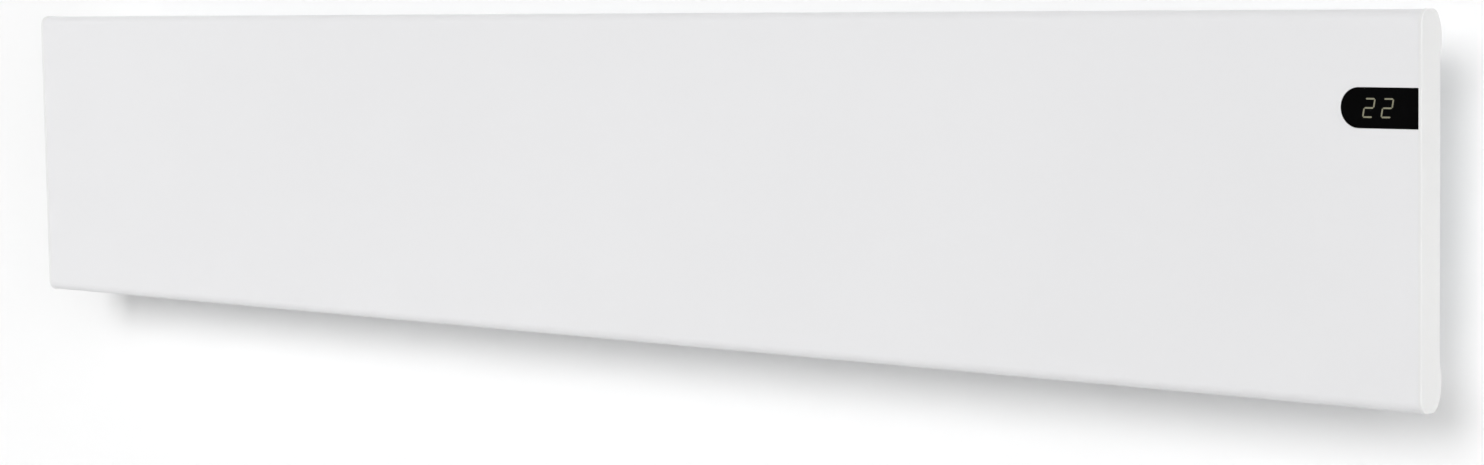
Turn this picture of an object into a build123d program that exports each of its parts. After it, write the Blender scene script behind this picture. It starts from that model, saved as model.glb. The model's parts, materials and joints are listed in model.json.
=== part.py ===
from build123d import *
import os
from math import atan2, cos, degrees, radians, sin, tan

os.makedirs("parts", exist_ok=True)

# A low, wide wall panel convector heater on a tilting wall bracket. Millimetres.
# X runs along the heater towards its display, Y into the wall, Z up. The origin lies on the
# wall, at the centre of the four wall screws. The wall is the plane y = 0.

# ---------------------------------------------------------------- overall sizes
WIDTH = 1430.0             # over the end caps
HEIGHT = 250.0             # of the front tray
DEPTH = 88.0               # wall to the front of the end caps
TRAY_DEPTH = 24.0          # front tray, the part seen from the room
WALL_GAP = 22.0            # wall to the rear housing
HOUSING_INSET = 38.0       # end of the heater to the rear housing

# ---------------------------------------------------------------- sheet and wall thicknesses
PANEL_T = 1.0              # steel front panel
HOUSING_T = 0.8            # galvanised rear housing
BRACKET_T = 1.5            # wall bracket
SHIELD_T = 0.5             # heat shield
CAP_WALL = 2.5             # moulded end caps
MOULD_T = 2.0              # other mouldings
FIT = 0.3                  # gap between parts that only sit beside each other

# ---------------------------------------------------------------- front tray section
BEND_R = 8.0               # long front bends, top and bottom
CORNER_DEPTH = 11.0        # curled rear corners, along Y
CORNER_HEIGHT = 18.0       # curled rear corners, along Z
CORNER_SHARPNESS = 0.72    # tight radius of the curl, as a share of its depth
LIP = 8.0                  # flat lip that the housing is screwed to
LIP_GAP = 1.0              # lip edge to housing wall
CAP_PROUD = 0.4            # end caps stand proud of the panel
CAP_EDGE_R = 0.6           # rounded outer edge of the end caps
TAB_LENGTH = 10.0          # locating tabs of the end caps, inside the panel
TAB_T = 1.8
TAB_HEIGHT = 28.0
CAP_GUSSET = 8.0           # gussets between the wing and the side wall of an end cap

# ---------------------------------------------------------------- display
WINDOW_WIDTH = 55.4        # black D-shaped window, round at its left end
WINDOW_HEIGHT = 25.5
WINDOW_DROP = 61.1         # top of the heater to the window's middle
WINDOW_FLANGE = 1.6        # rim of the window behind the panel
WINDOW_FLANGE_T = 1.5
WINDOW_FIT = 0.12
DIGIT_HEIGHT = 12.4
DIGIT_WIDTH = 7.7
DIGIT_PITCH = 13.1
DIGIT_START = 20.4         # window's left tip to the middle of the first digit
DIGIT_SLANT = 10.0         # degrees
SEGMENT_T = 1.0
SEGMENT_GAP = 0.3
LED_DEPTH = 4.0            # block of light wells behind the window
LED_MARGIN = 1.6
BOARD_T = 1.6              # circuit boards
DISPLAY_BOARD_MARGIN = 3.0 # display board beyond the window, above and below
DISPLAY_CABLE_R = 1.5
DISPLAY_CABLE_BEND = 4.5
DISPLAY_CABLE_RISE = 17.5  # above the control cover, where the cable turns down
DISPLAY_CABLE_SHIFT = 24.0 # cable entry, to the right of the tray's middle

# ---------------------------------------------------------------- air slots
SLOT_LENGTH = 30.0
SLOT_WIDTH = 6.0
SLOT_PITCH = 13.0
SLOT_MARGIN = 16.0

# ---------------------------------------------------------------- heating element
PARTITION_INSET = 137.0    # right side of the housing to the partition
ELEMENT_MARGIN = 34.0      # ends of the element pair to housing side and partition
ELEMENT_GAP = 44.0         # between the two element rods
ELEMENT_Z = -20.0
SHIELD_STANDOFF = 9.5      # back plate to shield
SHIELD_MARGIN = 14.0       # underside of the housing to the lower edge of the shield
SHIELD_OVERHANG = 4.0      # shield beyond the ends of the rods
ELEMENT_STANDOFF = 21.0    # shield to rod axis
ROD_R = 3.25
ROD_OVERHANG = 20.0        # bare rod beyond the fins at each end
PIN_R = 1.25
PIN_LENGTH = 9.0
HUB_R = 5.6                # hub of the finned extrusion
FIN_REACH = 29.0           # fin tip from the rod axis
FIN_T = 1.6
FIN_ANGLE = 57.0           # degrees, fins above the level
FIN_BEAD_R = 1.6
BUSH_R = 5.2
BUSH_COLLAR_R = 7.0
BUSH_COLLAR_T = 1.5
BUSH_LENGTH = 8.0
SUPPORT_T = 1.2
SUPPORT_WIDTH = 26.0
SUPPORT_FOOT = 14.0
CUTOUT_R = 8.0             # bimetal cut-outs
CUTOUT_T = 5.0
CUTOUT_TOP_R = 4.8         # raised middle of a cut-out
CUTOUT_TOP_T = 3.0
CUTOUT_DROP = 14.0         # below the top of the shield
CUTOUT_SPACING = 560.0
BLADE = (6.3, 8.0, 0.8)    # flat terminals: width, length, thickness
BLADE_SINK = 2.4           # foot of a flat terminal inside the cut-out
LEAD_R = 1.1               # insulated wires
LEAD_BEND = 4.4            # bends of the element leads
LEAD_PAIR_GAP = 0.4        # between two leads side by side
GROMMET_R = 5.0
GROMMET_BORE_R = 3.0
GROMMET_COLLAR = 2.0
GROMMET_RISE = 20.0        # above the underside of the housing

# ---------------------------------------------------------------- control unit
TRAY_MARGIN = 4.0          # control tray to partition and to the side flange
TRAY_RISE = 38.0           # above the underside of the housing
TRAY_HEIGHT = 92.0
TRAY_RIM = 12.0
BOSS_HEIGHT = 6.0
BOSS_R = 3.2
BOSS_INSET = 9.0           # tray edge to boss
BOARD_EDGE = 5.0           # tray edge to board edge
COVER_DEPTH = 27.0
RELAY = (28.0, 15.5, 12.5)       # along X, Y and Z
POWER_SUPPLY = (31.0, 17.0, 24.0)
CAPACITOR = (18.0, 14.0, 8.5)
TERMINAL_BLOCK = (24.0, 16.0, 18.0)
COMPONENT_EDGE_R = 0.6
RELAY_PLACE = (14.0, 3.0)        # in from the board's left and upper edges
POWER_SUPPLY_PLACE = (16.0, -4.0)  # in from the left edge, and above the board's middle
CAPACITOR_PLACE = (14.0, -2.0)   # in from the right edge, and above the board's middle
TERMINAL_PLACE = (16.0, 2.0)     # in from the board's right and lower edges
TERMINAL_WAYS = 3
TERMINAL_GAP = 0.6               # round each wire in its entry
TERMINAL_ENTRY_Y = 6.4           # board to the middle of the wires
TERMINAL_ENTRY_Z = 9.0           # depth of the wire entries
TERMINAL_WIRE_Z = 7.2            # wire inside its entry
TERMINAL_SCREW_R = 2.0
TERMINAL_SCREW_Z = 9.9
TERMINAL_SCREW_DEPTH = 6.4
FUSE_R = 2.6
FUSE_LENGTH = 20.0
FUSE_GAP = 5.0                   # fuse to terminal block
FUSE_STANDOFF = 1.6
FUSE_CAP = (6.0, 0.4)            # length of the metal caps, and their thickness
FUSE_CLIP = (4.0, 2.4)           # along X and Z

# ---------------------------------------------------------------- underside fittings
SWITCH_LENGTH = 19.2       # rocker switch cut-out, along X
SWITCH_WIDTH = 12.9        # along Y
SWITCH_DEPTH = 16.0
SWITCH_BEZEL = 1.4
SWITCH_BEZEL_T = 1.8
SWITCH_BEZEL_R = 0.5
SWITCH_WALL = 1.2
SWITCH_POCKET = 8.8        # room for the rocker above the underside
SWITCH_BLADES = 10.0       # between the two terminals
SWITCH_LEAD_BEND = 3.0
SWITCH_LEAD_JOG = 3.2      # between the jogs of the two wires
ROCKER_CLEARANCE = 0.35
ROCKER_THROW = 16.0        # degrees, off to on
ROCKER_RISE = 4.4          # rocker axis to the flats of its face
ROCKER_PIVOT_R = 1.2
ROCKER_PIVOT_GAP = 0.06
ROCKER_STUB = 0.7          # pivot stubs beyond the sides of the rocker
ROCKER_SOCKET_WALL = 0.4   # left behind the sockets of the stubs
ROCKER_SHOULDER = 0.6      # rocker above its axis at its ends
ROCKER_KEEL = (1.8, 3.2)   # half width and height of its inner end
SWITCH_FROM_PARTITION = 40.0
GLAND_FROM_PARTITION = 82.0
SENSOR_FROM_PARTITION = 118.0
CORD_HOLE_R = 3.7          # gland bore, for a 7 mm cord
GLAND_BODY_R = 6.0
GLAND_FLANGE_R = 9.0
GLAND_FLANGE_T = 2.5
GLAND_DROP = 14.0          # below the housing
GLAND_INNER = 9.0          # inside the housing
GLAND_CHAMFER = 1.2
NUT_T = 4.0
GUARD_R = 6.0
GUARD_DROP = 12.0
GUARD_WALL = 1.2
GUARD_RIM = 1.6            # rim below the housing
GUARD_SLOT = 1.6
SENSOR_R = 2.2
SENSOR_DROP = 9.0          # bead below the housing
SENSOR_SEAT = 2.0          # collar of the sensor above the underside
SENSOR_LEAD_BEND = 3.3
EARTH_FROM_SWITCH = 22.0
EARTH_BELOW_TRAY = 16.0
EARTH_STUD_R = 2.0
EARTH_STUD_LENGTH = 12.0
EARTH_WASHER = (4.4, 1.0)  # radius and thickness
EARTH_LUG = (12.0, 3.4, 1.4)     # length, width and thickness
EARTH_NUT = (4.0, 3.2)     # corner radius and thickness
EARTH_LEAD_START = 10.0    # stud to the crimped wire
EARTH_LEAD_RUN = 14.0      # end of the wire's level run to its way in the block
EARTH_LEAD_RISE = 5.0
EARTH_LEAD_BEND = 5.0

# ---------------------------------------------------------------- wall bracket and hinge
BRACKET_SPACING = 840.0    # between the uprights, and between the wall screws along X
SCREW_FROM_CATCH = 8.0     # wall screws to the feet of the catches
WALL_HOLE_R = 2.9
UPRIGHT_WIDTH = 30.0
UPRIGHT_FLANGE = 10.0      # depth of the side flanges
UPRIGHT_DROP = 6.0         # top of the housing to the top of the uprights
RAIL_HEIGHT = 24.0
RAIL_Z = 46.0              # rails above and below the origin
PIVOT_FROM_WALL = 12.0
PIVOT_RISE = 8.0           # above the underside of the housing
PIVOT_R = 3.0
PIVOT_CLEARANCE = 0.08
PIVOT_HEAD = (4.8, 1.5)    # radius and thickness
ARM_REACH = 6.5            # flange in front of the pivot
ARM_HEIGHT = 30.0
ARM_DROP = 12.0            # flange below the pivot
TILT_MAX = 20.0            # degrees, heater tipped forward
STOP_GAP = 0.3
HOOK_DROP = 7.0            # hook below the pivot
HOOK_CROWN = 7.5           # hook above the pivot
HOOK_SLOPE = 3.0           # cut-off rear corner of the hook
HOOK_ROOT = 12.0           # ear above the pivot, at the back plate
LUG_WIDTH = 20.0
LUG_T = 1.6
LUG_HEIGHT = 34.0
CATCH_WIDTH = 16.0
CATCH_T = 1.0
CATCH_DROP = 14.0          # top of the housing to the arm of the catch
CATCH_REACH = 5.0          # hook in front of the back plate
CATCH_BARB = 4.0
CATCH_LEG = 26.0
CATCH_FINGER = 7.0
CATCH_FLAT = 1.0           # blunt end of the barb
CATCH_SIDE_GAP = 2.0       # slot beyond the arm, left and right
CATCH_EDGE_GAP = 1.0       # arm to the edge that its barb holds
CATCH_SPARE = 0.8          # slot above the arm once the barb is lifted clear
BUFFER_R = 7.0
BUFFER_EDGE_R = 1.5
BUFFER_Z = 20.0
BEAD_HEIGHT = 1.2          # pressed stiffening beads of the back plate
BEAD_WIDTH = 12.0
BEAD_Z = 52.0
BEAD_MARGIN = 34.0         # bead ends to the hinge lugs and the plate's sides

# ---------------------------------------------------------------- fasteners
SCREW_R = 1.5
SCREW_HEAD_R = 3.0
SCREW_HEAD_T = 1.8
SCREW_EDGE_R = 1.0
SCREW_RECESS = (0.75, 1.0) # width and depth of the cross
SCREW_HOLE_R = 1.6
SCREW_GRIP = 3.0           # screw beyond the sheets it joins
LIP_SCREWS = 7             # along each lip
EDGE_SCREWS = 6            # along each long edge of the back plate
SIDE_SCREW_SPACING = 120.0
EDGE_FLANGE = 12.0         # flanges inside the back plate
SIDE_FLANGE = 20.0         # end plate flanges behind the end caps
RIVET_R = 1.6
RIVET_HEAD_R = 3.0
RIVET_HEAD_T = 1.0
RIVET_EDGE = 4.5           # rivet to the end of its strip
PLATE = (62.0, 34.0, 0.3)  # bare rating plate

# ---------------------------------------------------------------- worked-out places
END_X = WIDTH / 2 - CAP_WALL              # end of the panel, inside the end cap
HOUSING_X = WIDTH / 2 - HOUSING_INSET
FRONT_Y = -DEPTH
PANEL_Y = FRONT_Y + CAP_PROUD             # front of the panel
PANEL_IN_Y = PANEL_Y + PANEL_T
TRAY_BACK_Y = FRONT_Y + TRAY_DEPTH
LIP_Y = TRAY_BACK_Y - CAP_PROUD           # outside of the lips
LIP_IN_Y = LIP_Y - PANEL_T
BACK_Y = -WALL_GAP                        # outside of the back plate
BACK_IN_Y = BACK_Y - HOUSING_T
CURL_Z = HEIGHT / 2 - CORNER_HEIGHT       # where the curl meets the lip
LIP_Z = CURL_Z - LIP
HOUSING_Z = LIP_Z - LIP_GAP
INSIDE_Z = HOUSING_Z - HOUSING_T
SCREW_LIP_Z = (CURL_Z + LIP_Z) / 2
PARTITION_X = HOUSING_X - PARTITION_INSET
SHIELD_Y = BACK_IN_Y - SHIELD_STANDOFF
ELEMENT_Y = SHIELD_Y - ELEMENT_STANDOFF
PIVOT_Y = -PIVOT_FROM_WALL
PIVOT_Z = -HOUSING_Z + PIVOT_RISE
SHIELD_Z = (-HOUSING_Z + SHIELD_MARGIN, 2 * ELEMENT_Z + HOUSING_Z - SHIELD_MARGIN)
CUTOUT_Z = SHIELD_Z[1] - CUTOUT_DROP
GROMMET_Z = -HOUSING_Z + GROMMET_RISE
TRAY_LOW = -HOUSING_Z + TRAY_RISE
TRAY_HIGH = TRAY_LOW + TRAY_HEIGHT
UPRIGHT_TOP = HOUSING_Z - UPRIGHT_DROP
CATCH_Z = HOUSING_Z - CATCH_DROP
CATCH_TOP = CATCH_Z + CATCH_T / 2
CATCH_LOW = CATCH_Z - CATCH_T / 2
CATCH_FOOT = CATCH_Z - CATCH_LEG
CATCH_SLOT_WIDTH = CATCH_WIDTH + 2 * CATCH_SIDE_GAP
CATCH_SLOT_Z = (CATCH_LOW - CATCH_EDGE_GAP, CATCH_TOP + CATCH_BARB - CATCH_EDGE_GAP + CATCH_SPARE)
WALL_SCREW_Z = CATCH_FOOT - SCREW_FROM_CATCH
WINDOW_Z = HEIGHT / 2 - WINDOW_DROP
WINDOW_TIP_X = END_X - WINDOW_WIDTH
WINDOW_BACK_Y = PANEL_IN_Y + WINDOW_FLANGE_T
LED_BACK_Y = WINDOW_BACK_Y + LED_DEPTH
UNDERSIDE_Y = (BACK_IN_Y + LIP_Y) / 2     # middle of the bottom wall
TRAY_X = (PARTITION_X + HOUSING_T + TRAY_MARGIN, HOUSING_X - HOUSING_T - EDGE_FLANGE - TRAY_MARGIN)
BOARD_Y = BACK_IN_Y - MOULD_T - BOSS_HEIGHT
BOARD_FRONT_Y = BOARD_Y - BOARD_T
TRAY_RIM_Y = BACK_IN_Y - TRAY_RIM
SWITCH_X = PARTITION_X + SWITCH_FROM_PARTITION
GLAND_X = PARTITION_X + GLAND_FROM_PARTITION
SENSOR_X = PARTITION_X + SENSOR_FROM_PARTITION


# ---------------------------------------------------------------- shape helpers
def block(x, y, z):
    """A box between a low and a high value on each axis, in either order."""
    size = [abs(b - a) for a, b in (x, y, z)]
    middle = [(a + b) / 2 for a, b in (x, y, z)]
    return Pos(*middle) * Box(*size)


def rod_x(radius, x, y, z):
    return Pos((x[0] + x[1]) / 2, y, z) * Rot(0, 90, 0) * Cylinder(radius, abs(x[1] - x[0]))


def rod_y(radius, x, y, z):
    return Pos(x, (y[0] + y[1]) / 2, z) * Rot(90, 0, 0) * Cylinder(radius, abs(y[1] - y[0]))


def rod_z(radius, x, y, z):
    return Pos(x, y, (z[0] + z[1]) / 2) * Cylinder(radius, abs(z[1] - z[0]))


def around(middle, size):
    """The low and high value of a length centred on a place."""
    return (middle - size / 2, middle + size / 2)


def polygon(points):
    return make_face(Polyline(*points, close=True))


def along_x(face, x):
    """Extrude a face drawn in Y and Z between two places on X."""
    return extrude(Plane.YZ.offset(x[0]) * face, x[1] - x[0])


def along_y(face, y):
    """Extrude a face drawn in X and Z between two places on Y, from the wall outwards."""
    near_wall, near_room = max(y), min(y)
    return extrude(Plane.XZ.offset(-near_wall) * face, near_wall - near_room)


def along_z(face, z):
    return extrude(Plane.XY.offset(z[0]) * face, z[1] - z[0])


def group(shapes):
    """Several separate solids kept in one node."""
    return Compound([solid for shape in shapes for solid in shape.solids()])


def even(first, last, count):
    """Evenly spaced places from first to last."""
    return [first + (last - first) * i / (count - 1) for i in range(count)]


def both_sides(shape):
    return [shape, mirror(shape, about=Plane.YZ)]


def screw(x, y, z, grip, outward):
    """A pan-head screw along Y whose head sits on the plane y and points outward (+1 or -1)."""
    head = rod_y(SCREW_HEAD_R, x, (y, y + outward * SCREW_HEAD_T), z)
    rim = head.faces().sort_by(Axis.Y)[-1 if outward > 0 else 0].edges()
    head = fillet(rim, SCREW_EDGE_R)
    width, depth = SCREW_RECESS
    recess = (y + outward * (SCREW_HEAD_T - depth), y + outward * SCREW_HEAD_T)
    arm = SCREW_HEAD_R
    head -= block(around(x, arm), recess, around(z, width))
    head -= block(around(x, width), recess, around(z, arm))
    return head + rod_y(SCREW_R, x, (y, y - outward * grip), z)


def rivet(axis_rod, place, across, low, high):
    """A rivet: a shank through the sheets with a flat head at each end."""
    shank = axis_rod(RIVET_R, *place((low, high), across))
    for end, head_end in ((low, low - RIVET_HEAD_T), (high, high + RIVET_HEAD_T)):
        shank += axis_rod(RIVET_HEAD_R, *place((head_end, end), across))
    return shank


def rivet_x(x, y, z):
    return rivet(rod_x, lambda span, at: (span, at[0], at[1]), (y, z), x[0], x[1])


def rivet_y(x, y, z):
    return rivet(rod_y, lambda span, at: (at[0], span, at[1]), (x, z), min(y), max(y))


def wire(points, bends):
    """A round insulated wire along straight runs joined by tangent arcs."""
    path = FilletPolyline(*points, radius=bends)
    start = Plane(origin=path @ 0, z_dir=path % 0)
    return sweep(start * Circle(LEAD_R), path=path)


# ---------------------------------------------------------------- front tray
def tray_outline(inset):
    """Side view of the tray in Y and Z, shrunk by inset all round. Each rear corner curls in
    on two tangent arcs, a tight one and then a wide one."""
    tight = CORNER_SHARPNESS * CORNER_DEPTH
    rise = CORNER_HEIGHT - tight
    wide = (CORNER_DEPTH**2 + rise**2 - tight**2) / (2 * (CORNER_DEPTH - tight))
    tight_y, tight_z = TRAY_BACK_Y - CORNER_DEPTH, HEIGHT / 2 - tight
    wide_y, wide_z = TRAY_BACK_Y - wide, CURL_Z
    turn = atan2(tight_z - wide_z, tight_y - wide_y)
    front_y, front_z = FRONT_Y + BEND_R, HEIGHT / 2 - BEND_R

    def on_arc(y, z, radius, angle):
        return (y + (radius - inset) * cos(angle), z + (radius - inset) * sin(angle))

    right_angle = radians(90)
    upper = [
        on_arc(front_y, front_z, BEND_R, 2 * right_angle),
        on_arc(front_y, front_z, BEND_R, 1.5 * right_angle),
        on_arc(front_y, front_z, BEND_R, right_angle),
        on_arc(tight_y, tight_z, tight, right_angle),
        on_arc(tight_y, tight_z, tight, (right_angle + turn) / 2),
        on_arc(tight_y, tight_z, tight, turn),
        on_arc(wide_y, wide_z, wide, turn / 2),
        on_arc(wide_y, wide_z, wide, 0),
    ]
    lower = [(y, -z) for y, z in upper]
    edges = [Line(lower[0], upper[0]), Line(lower[-1], upper[-1])]
    for side in (upper, lower):
        edges.append(ThreePointArc(side[0], side[1], side[2]))
        edges.append(Line(side[2], side[3]))
        edges.append(ThreePointArc(side[3], side[4], side[5]))
        edges.append(ThreePointArc(side[5], side[6], side[7]))
    return make_face(edges)


def window_outline(margin):
    """The D shape in X and Z, grown by margin, with its right side at the end cap."""
    radius = WINDOW_HEIGHT / 2
    middle_x = WINDOW_TIP_X + radius
    disc = Pos(middle_x, WINDOW_Z) * Circle(radius + margin)
    straight = END_X - middle_x
    bar = Pos(middle_x + straight / 2, WINDOW_Z) * Rectangle(straight, WINDOW_HEIGHT + 2 * margin)
    return disc + bar


def lip_screw_places():
    inset = SLOT_MARGIN + SCREW_HEAD_R
    return even(-HOUSING_X + inset, HOUSING_X - inset, LIP_SCREWS)


def front_panel():
    """One roll-formed sheet: flat front, bent top and bottom, curled in to two rear lips."""
    span = (-END_X, END_X)
    sheet = along_x(tray_outline(CAP_PROUD), span) - along_x(tray_outline(CAP_PROUD + PANEL_T), span)
    sheet -= block(span, (TRAY_BACK_Y, LIP_IN_Y - PANEL_T), (-LIP_Z, LIP_Z))
    sheet -= along_y(window_outline(0), (PANEL_Y - PANEL_T, PANEL_IN_Y + PANEL_T))
    for z in (-SCREW_LIP_Z, SCREW_LIP_Z):
        for x in lip_screw_places():
            sheet -= rod_y(SCREW_HOLE_R, x, (TRAY_BACK_Y, LIP_IN_Y - PANEL_T), z)
    return sheet


def cap_screw_places():
    """X and Z of the two screws through the right end cap's rear wing."""
    x = HOUSING_X + SIDE_FLANGE / 2
    return [(x, -SIDE_SCREW_SPACING / 2), (x, SIDE_SCREW_SPACING / 2)]


def right_end_cap():
    """Side wall, rear wing that closes the tray beside the housing, and locating tabs."""
    wall = along_x(tray_outline(0), (END_X, WIDTH / 2))
    wall = fillet(wall.faces().sort_by(Axis.X)[-1].edges(), CAP_EDGE_R)
    wing_z = LIP_Z - FIT
    wing = block((HOUSING_X + FIT, END_X), (LIP_Y, LIP_Y - MOULD_T), (-wing_z, wing_z))
    for x, z in cap_screw_places():
        wing -= rod_y(SCREW_HOLE_R, x, (LIP_Y, LIP_Y - MOULD_T), z)
    outer = CAP_PROUD + PANEL_T + FIT
    tab_span = (END_X - TAB_LENGTH, END_X)
    ring = along_x(tray_outline(outer), tab_span) - along_x(tray_outline(outer + TAB_T), tab_span)
    edge = HEIGHT / 2
    zones = [(edge - TAB_HEIGHT, edge), (-TAB_HEIGHT / 2, TAB_HEIGHT / 2), (-edge, TAB_HEIGHT - edge)]
    front_zone = (FRONT_Y, LIP_IN_Y - LIP)
    tabs = [ring & block(tab_span, front_zone, zone) for zone in zones]
    cap = wall + wing
    for tab in tabs:
        cap += tab
    for z in (-HEIGHT / 4, 0, HEIGHT / 4):
        # gussets tie the wing to the side wall
        foot_y = LIP_Y - MOULD_T
        gusset = polygon([(END_X, foot_y), (END_X, LIP_Y - CAP_GUSSET), (END_X - CAP_GUSSET, foot_y)])
        cap += along_z(gusset, around(z, MOULD_T))
    return cap


# ---------------------------------------------------------------- display
def digit_segments():
    """Outlines of the seven bars of each digit in X and Z: a list of (letter, face)."""
    half_w = (DIGIT_WIDTH - SEGMENT_T) / 2
    half_h = (DIGIT_HEIGHT - SEGMENT_T) / 2
    level = 2 * half_w - SEGMENT_GAP
    upright = half_h - SEGMENT_GAP
    bars = {
        "a": (0, half_h, level, 0),
        "g": (0, 0, level, 0),
        "d": (0, -half_h, level, 0),
        "b": (half_w, half_h / 2, upright, 1),
        "c": (half_w, -half_h / 2, upright, 1),
        "e": (-half_w, -half_h / 2, upright, 1),
        "f": (-half_w, half_h / 2, upright, 1),
    }
    slant = tan(radians(DIGIT_SLANT))
    faces = []
    for digit in range(2):
        middle_x = WINDOW_TIP_X + DIGIT_START + digit * DIGIT_PITCH
        for letter, (x, z, length, stands) in bars.items():
            end, body, half_t = length / 2, (length - SEGMENT_T) / 2, SEGMENT_T / 2
            bar = [(-end, 0), (-body, half_t), (body, half_t), (end, 0), (body, -half_t), (-body, -half_t)]
            if stands:
                bar = [(v, u) for u, v in bar]
            points = [(middle_x + x + u + slant * (z + v), WINDOW_Z + z + v) for u, v in bar]
            faces.append((letter, polygon(points)))
    return faces


def segment_bars(letters):
    span = (PANEL_Y, WINDOW_BACK_Y)
    return [along_y(face, span) for letter, face in digit_segments() if letter in letters]


LIT = "abged"              # the bars that make a 2
DARK = "cf"


def display_window():
    """Black window flush with the panel, with a rim behind the sheet and slots for the bars."""
    face = along_y(window_outline(-WINDOW_FIT), (PANEL_Y, PANEL_IN_Y))
    rim = along_y(window_outline(WINDOW_FLANGE), (PANEL_IN_Y, WINDOW_BACK_Y))
    window = face + rim
    window -= block((END_X - WINDOW_FIT, END_X + CAP_WALL), (PANEL_Y, WINDOW_BACK_Y),
                    around(WINDOW_Z, WINDOW_HEIGHT * 2))
    for bar in segment_bars(LIT + DARK):
        window -= bar
    return window


def digits_span_x():
    """The two digits' extent along X, with the slant."""
    first = WINDOW_TIP_X + DIGIT_START
    lean = tan(radians(DIGIT_SLANT)) * DIGIT_HEIGHT / 2
    reach = DIGIT_WIDTH / 2 + lean + LED_MARGIN
    return (first - reach, first + DIGIT_PITCH + reach)


def led_module():
    """Dark block behind the window, with a light well behind each bar."""
    block_z = around(WINDOW_Z, DIGIT_HEIGHT + 2 * LED_MARGIN)
    module = block(digits_span_x(), (WINDOW_BACK_Y, LED_BACK_Y), block_z)
    wells = (WINDOW_BACK_Y, WINDOW_BACK_Y + LED_DEPTH / 2)
    for _, face in digit_segments():
        module -= along_y(face, wells)
    return module


def carrier_span_x():
    return (WINDOW_TIP_X - WINDOW_FLANGE, END_X - FIT)


def carrier_z():
    return around(WINDOW_Z, WINDOW_HEIGHT + 2 * (WINDOW_FLANGE + DISPLAY_BOARD_MARGIN))


def display_screw_places():
    low, high = carrier_z()
    left, right = carrier_span_x()
    inset = DISPLAY_BOARD_MARGIN
    return [(x, z) for x in (left + inset, right - inset) for z in (low + inset, high - inset)]


def display_carrier():
    """Frame that holds the display board behind the window."""
    ring = (WINDOW_BACK_Y, LED_BACK_Y)
    frame = block(carrier_span_x(), ring, carrier_z())
    left, right = digits_span_x()
    frame -= block((left - FIT, right + FIT), ring,
                   around(WINDOW_Z, DIGIT_HEIGHT + 2 * (LED_MARGIN + FIT)))
    for x, z in display_screw_places():
        frame -= rod_y(SCREW_R, x, (LED_BACK_Y, LED_BACK_Y - SCREW_GRIP), z)
    return frame


def display_board():
    board = block(carrier_span_x(), (LED_BACK_Y, LED_BACK_Y + BOARD_T), carrier_z())
    for x, z in display_screw_places():
        board -= rod_y(SCREW_HOLE_R, x, (LED_BACK_Y, LED_BACK_Y + BOARD_T), z)
    return board


def display_screws():
    top = LED_BACK_Y + BOARD_T
    return group([screw(x, top, z, BOARD_T + SCREW_GRIP, 1) for x, z in display_screw_places()])


# ---------------------------------------------------------------- rear housing
def edge_screw_places():
    """X of the screws along the long edges of the back plate."""
    inset = SLOT_MARGIN + EDGE_FLANGE
    return even(-HOUSING_X + inset, HOUSING_X - inset, EDGE_SCREWS)


def edge_screw_z():
    return INSIDE_Z - EDGE_FLANGE / 2


def side_screw_places():
    """X and Z of the back plate screws along its short sides."""
    x = HOUSING_X - HOUSING_T - EDGE_FLANGE / 2
    return [(s * x, z) for s in (-1, 1) for z in (-SIDE_SCREW_SPACING / 2, SIDE_SCREW_SPACING / 2)]


def back_screw_places():
    long_edges = [(x, z) for x in edge_screw_places() for z in (-edge_screw_z(), edge_screw_z())]
    return long_edges + side_screw_places()


def lug_rivet_places():
    """Z of the rivets that hold each hinge lug."""
    top = PIVOT_Z - HOOK_DROP + LUG_HEIGHT
    return (top - RIVET_EDGE, PIVOT_Z + HOOK_CROWN + RIVET_HEAD_R)


def bead_spans():
    """The stretches of the back plate that carry stiffening beads."""
    side = BRACKET_SPACING / 2
    edge = HOUSING_X - BEAD_MARGIN
    return [(-edge, -side - BEAD_MARGIN), (-side + BEAD_MARGIN, side - BEAD_MARGIN),
            (side + BEAD_MARGIN, edge)]


def back_plate():
    plate = block((-HOUSING_X, HOUSING_X), (BACK_Y, BACK_IN_Y), (-HOUSING_Z, HOUSING_Z))
    for span in bead_spans():
        for z in (-BEAD_Z, BEAD_Z):
            place = Pos((span[0] + span[1]) / 2, z)
            ridge = place * SlotOverall(span[1] - span[0], BEAD_WIDTH)
            hollow = place * SlotOverall(span[1] - span[0] - 2 * HOUSING_T, BEAD_WIDTH - 2 * HOUSING_T)
            plate += along_y(ridge, (BACK_Y, BACK_Y + BEAD_HEIGHT))
            plate -= along_y(hollow, (BACK_IN_Y, BACK_IN_Y + BEAD_HEIGHT))
    through = (BACK_Y, BACK_IN_Y)
    for x in (-BRACKET_SPACING / 2, BRACKET_SPACING / 2):
        plate -= block(around(x, CATCH_SLOT_WIDTH), through, CATCH_SLOT_Z)
        for z in lug_rivet_places():
            plate -= rod_y(RIVET_R, x, through, z)
    for x, z in back_screw_places():
        plate -= rod_y(SCREW_HOLE_R, x, through, z)
    return plate


def air_slots():
    """The row of air slots over the heating elements, drawn in X and Y."""
    first, last = -HOUSING_X + SLOT_MARGIN, PARTITION_X - SLOT_MARGIN
    count = int((last - first - SLOT_WIDTH) // SLOT_PITCH) + 1
    start = (first + last - (count - 1) * SLOT_PITCH) / 2
    middle_y = (BACK_IN_Y - EDGE_FLANGE / 4 + LIP_Y) / 2
    slot = Rot(0, 0, 90) * SlotOverall(SLOT_LENGTH, SLOT_WIDTH)
    return Sketch() + [Pos(start + i * SLOT_PITCH, middle_y) * slot for i in range(count)]


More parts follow.
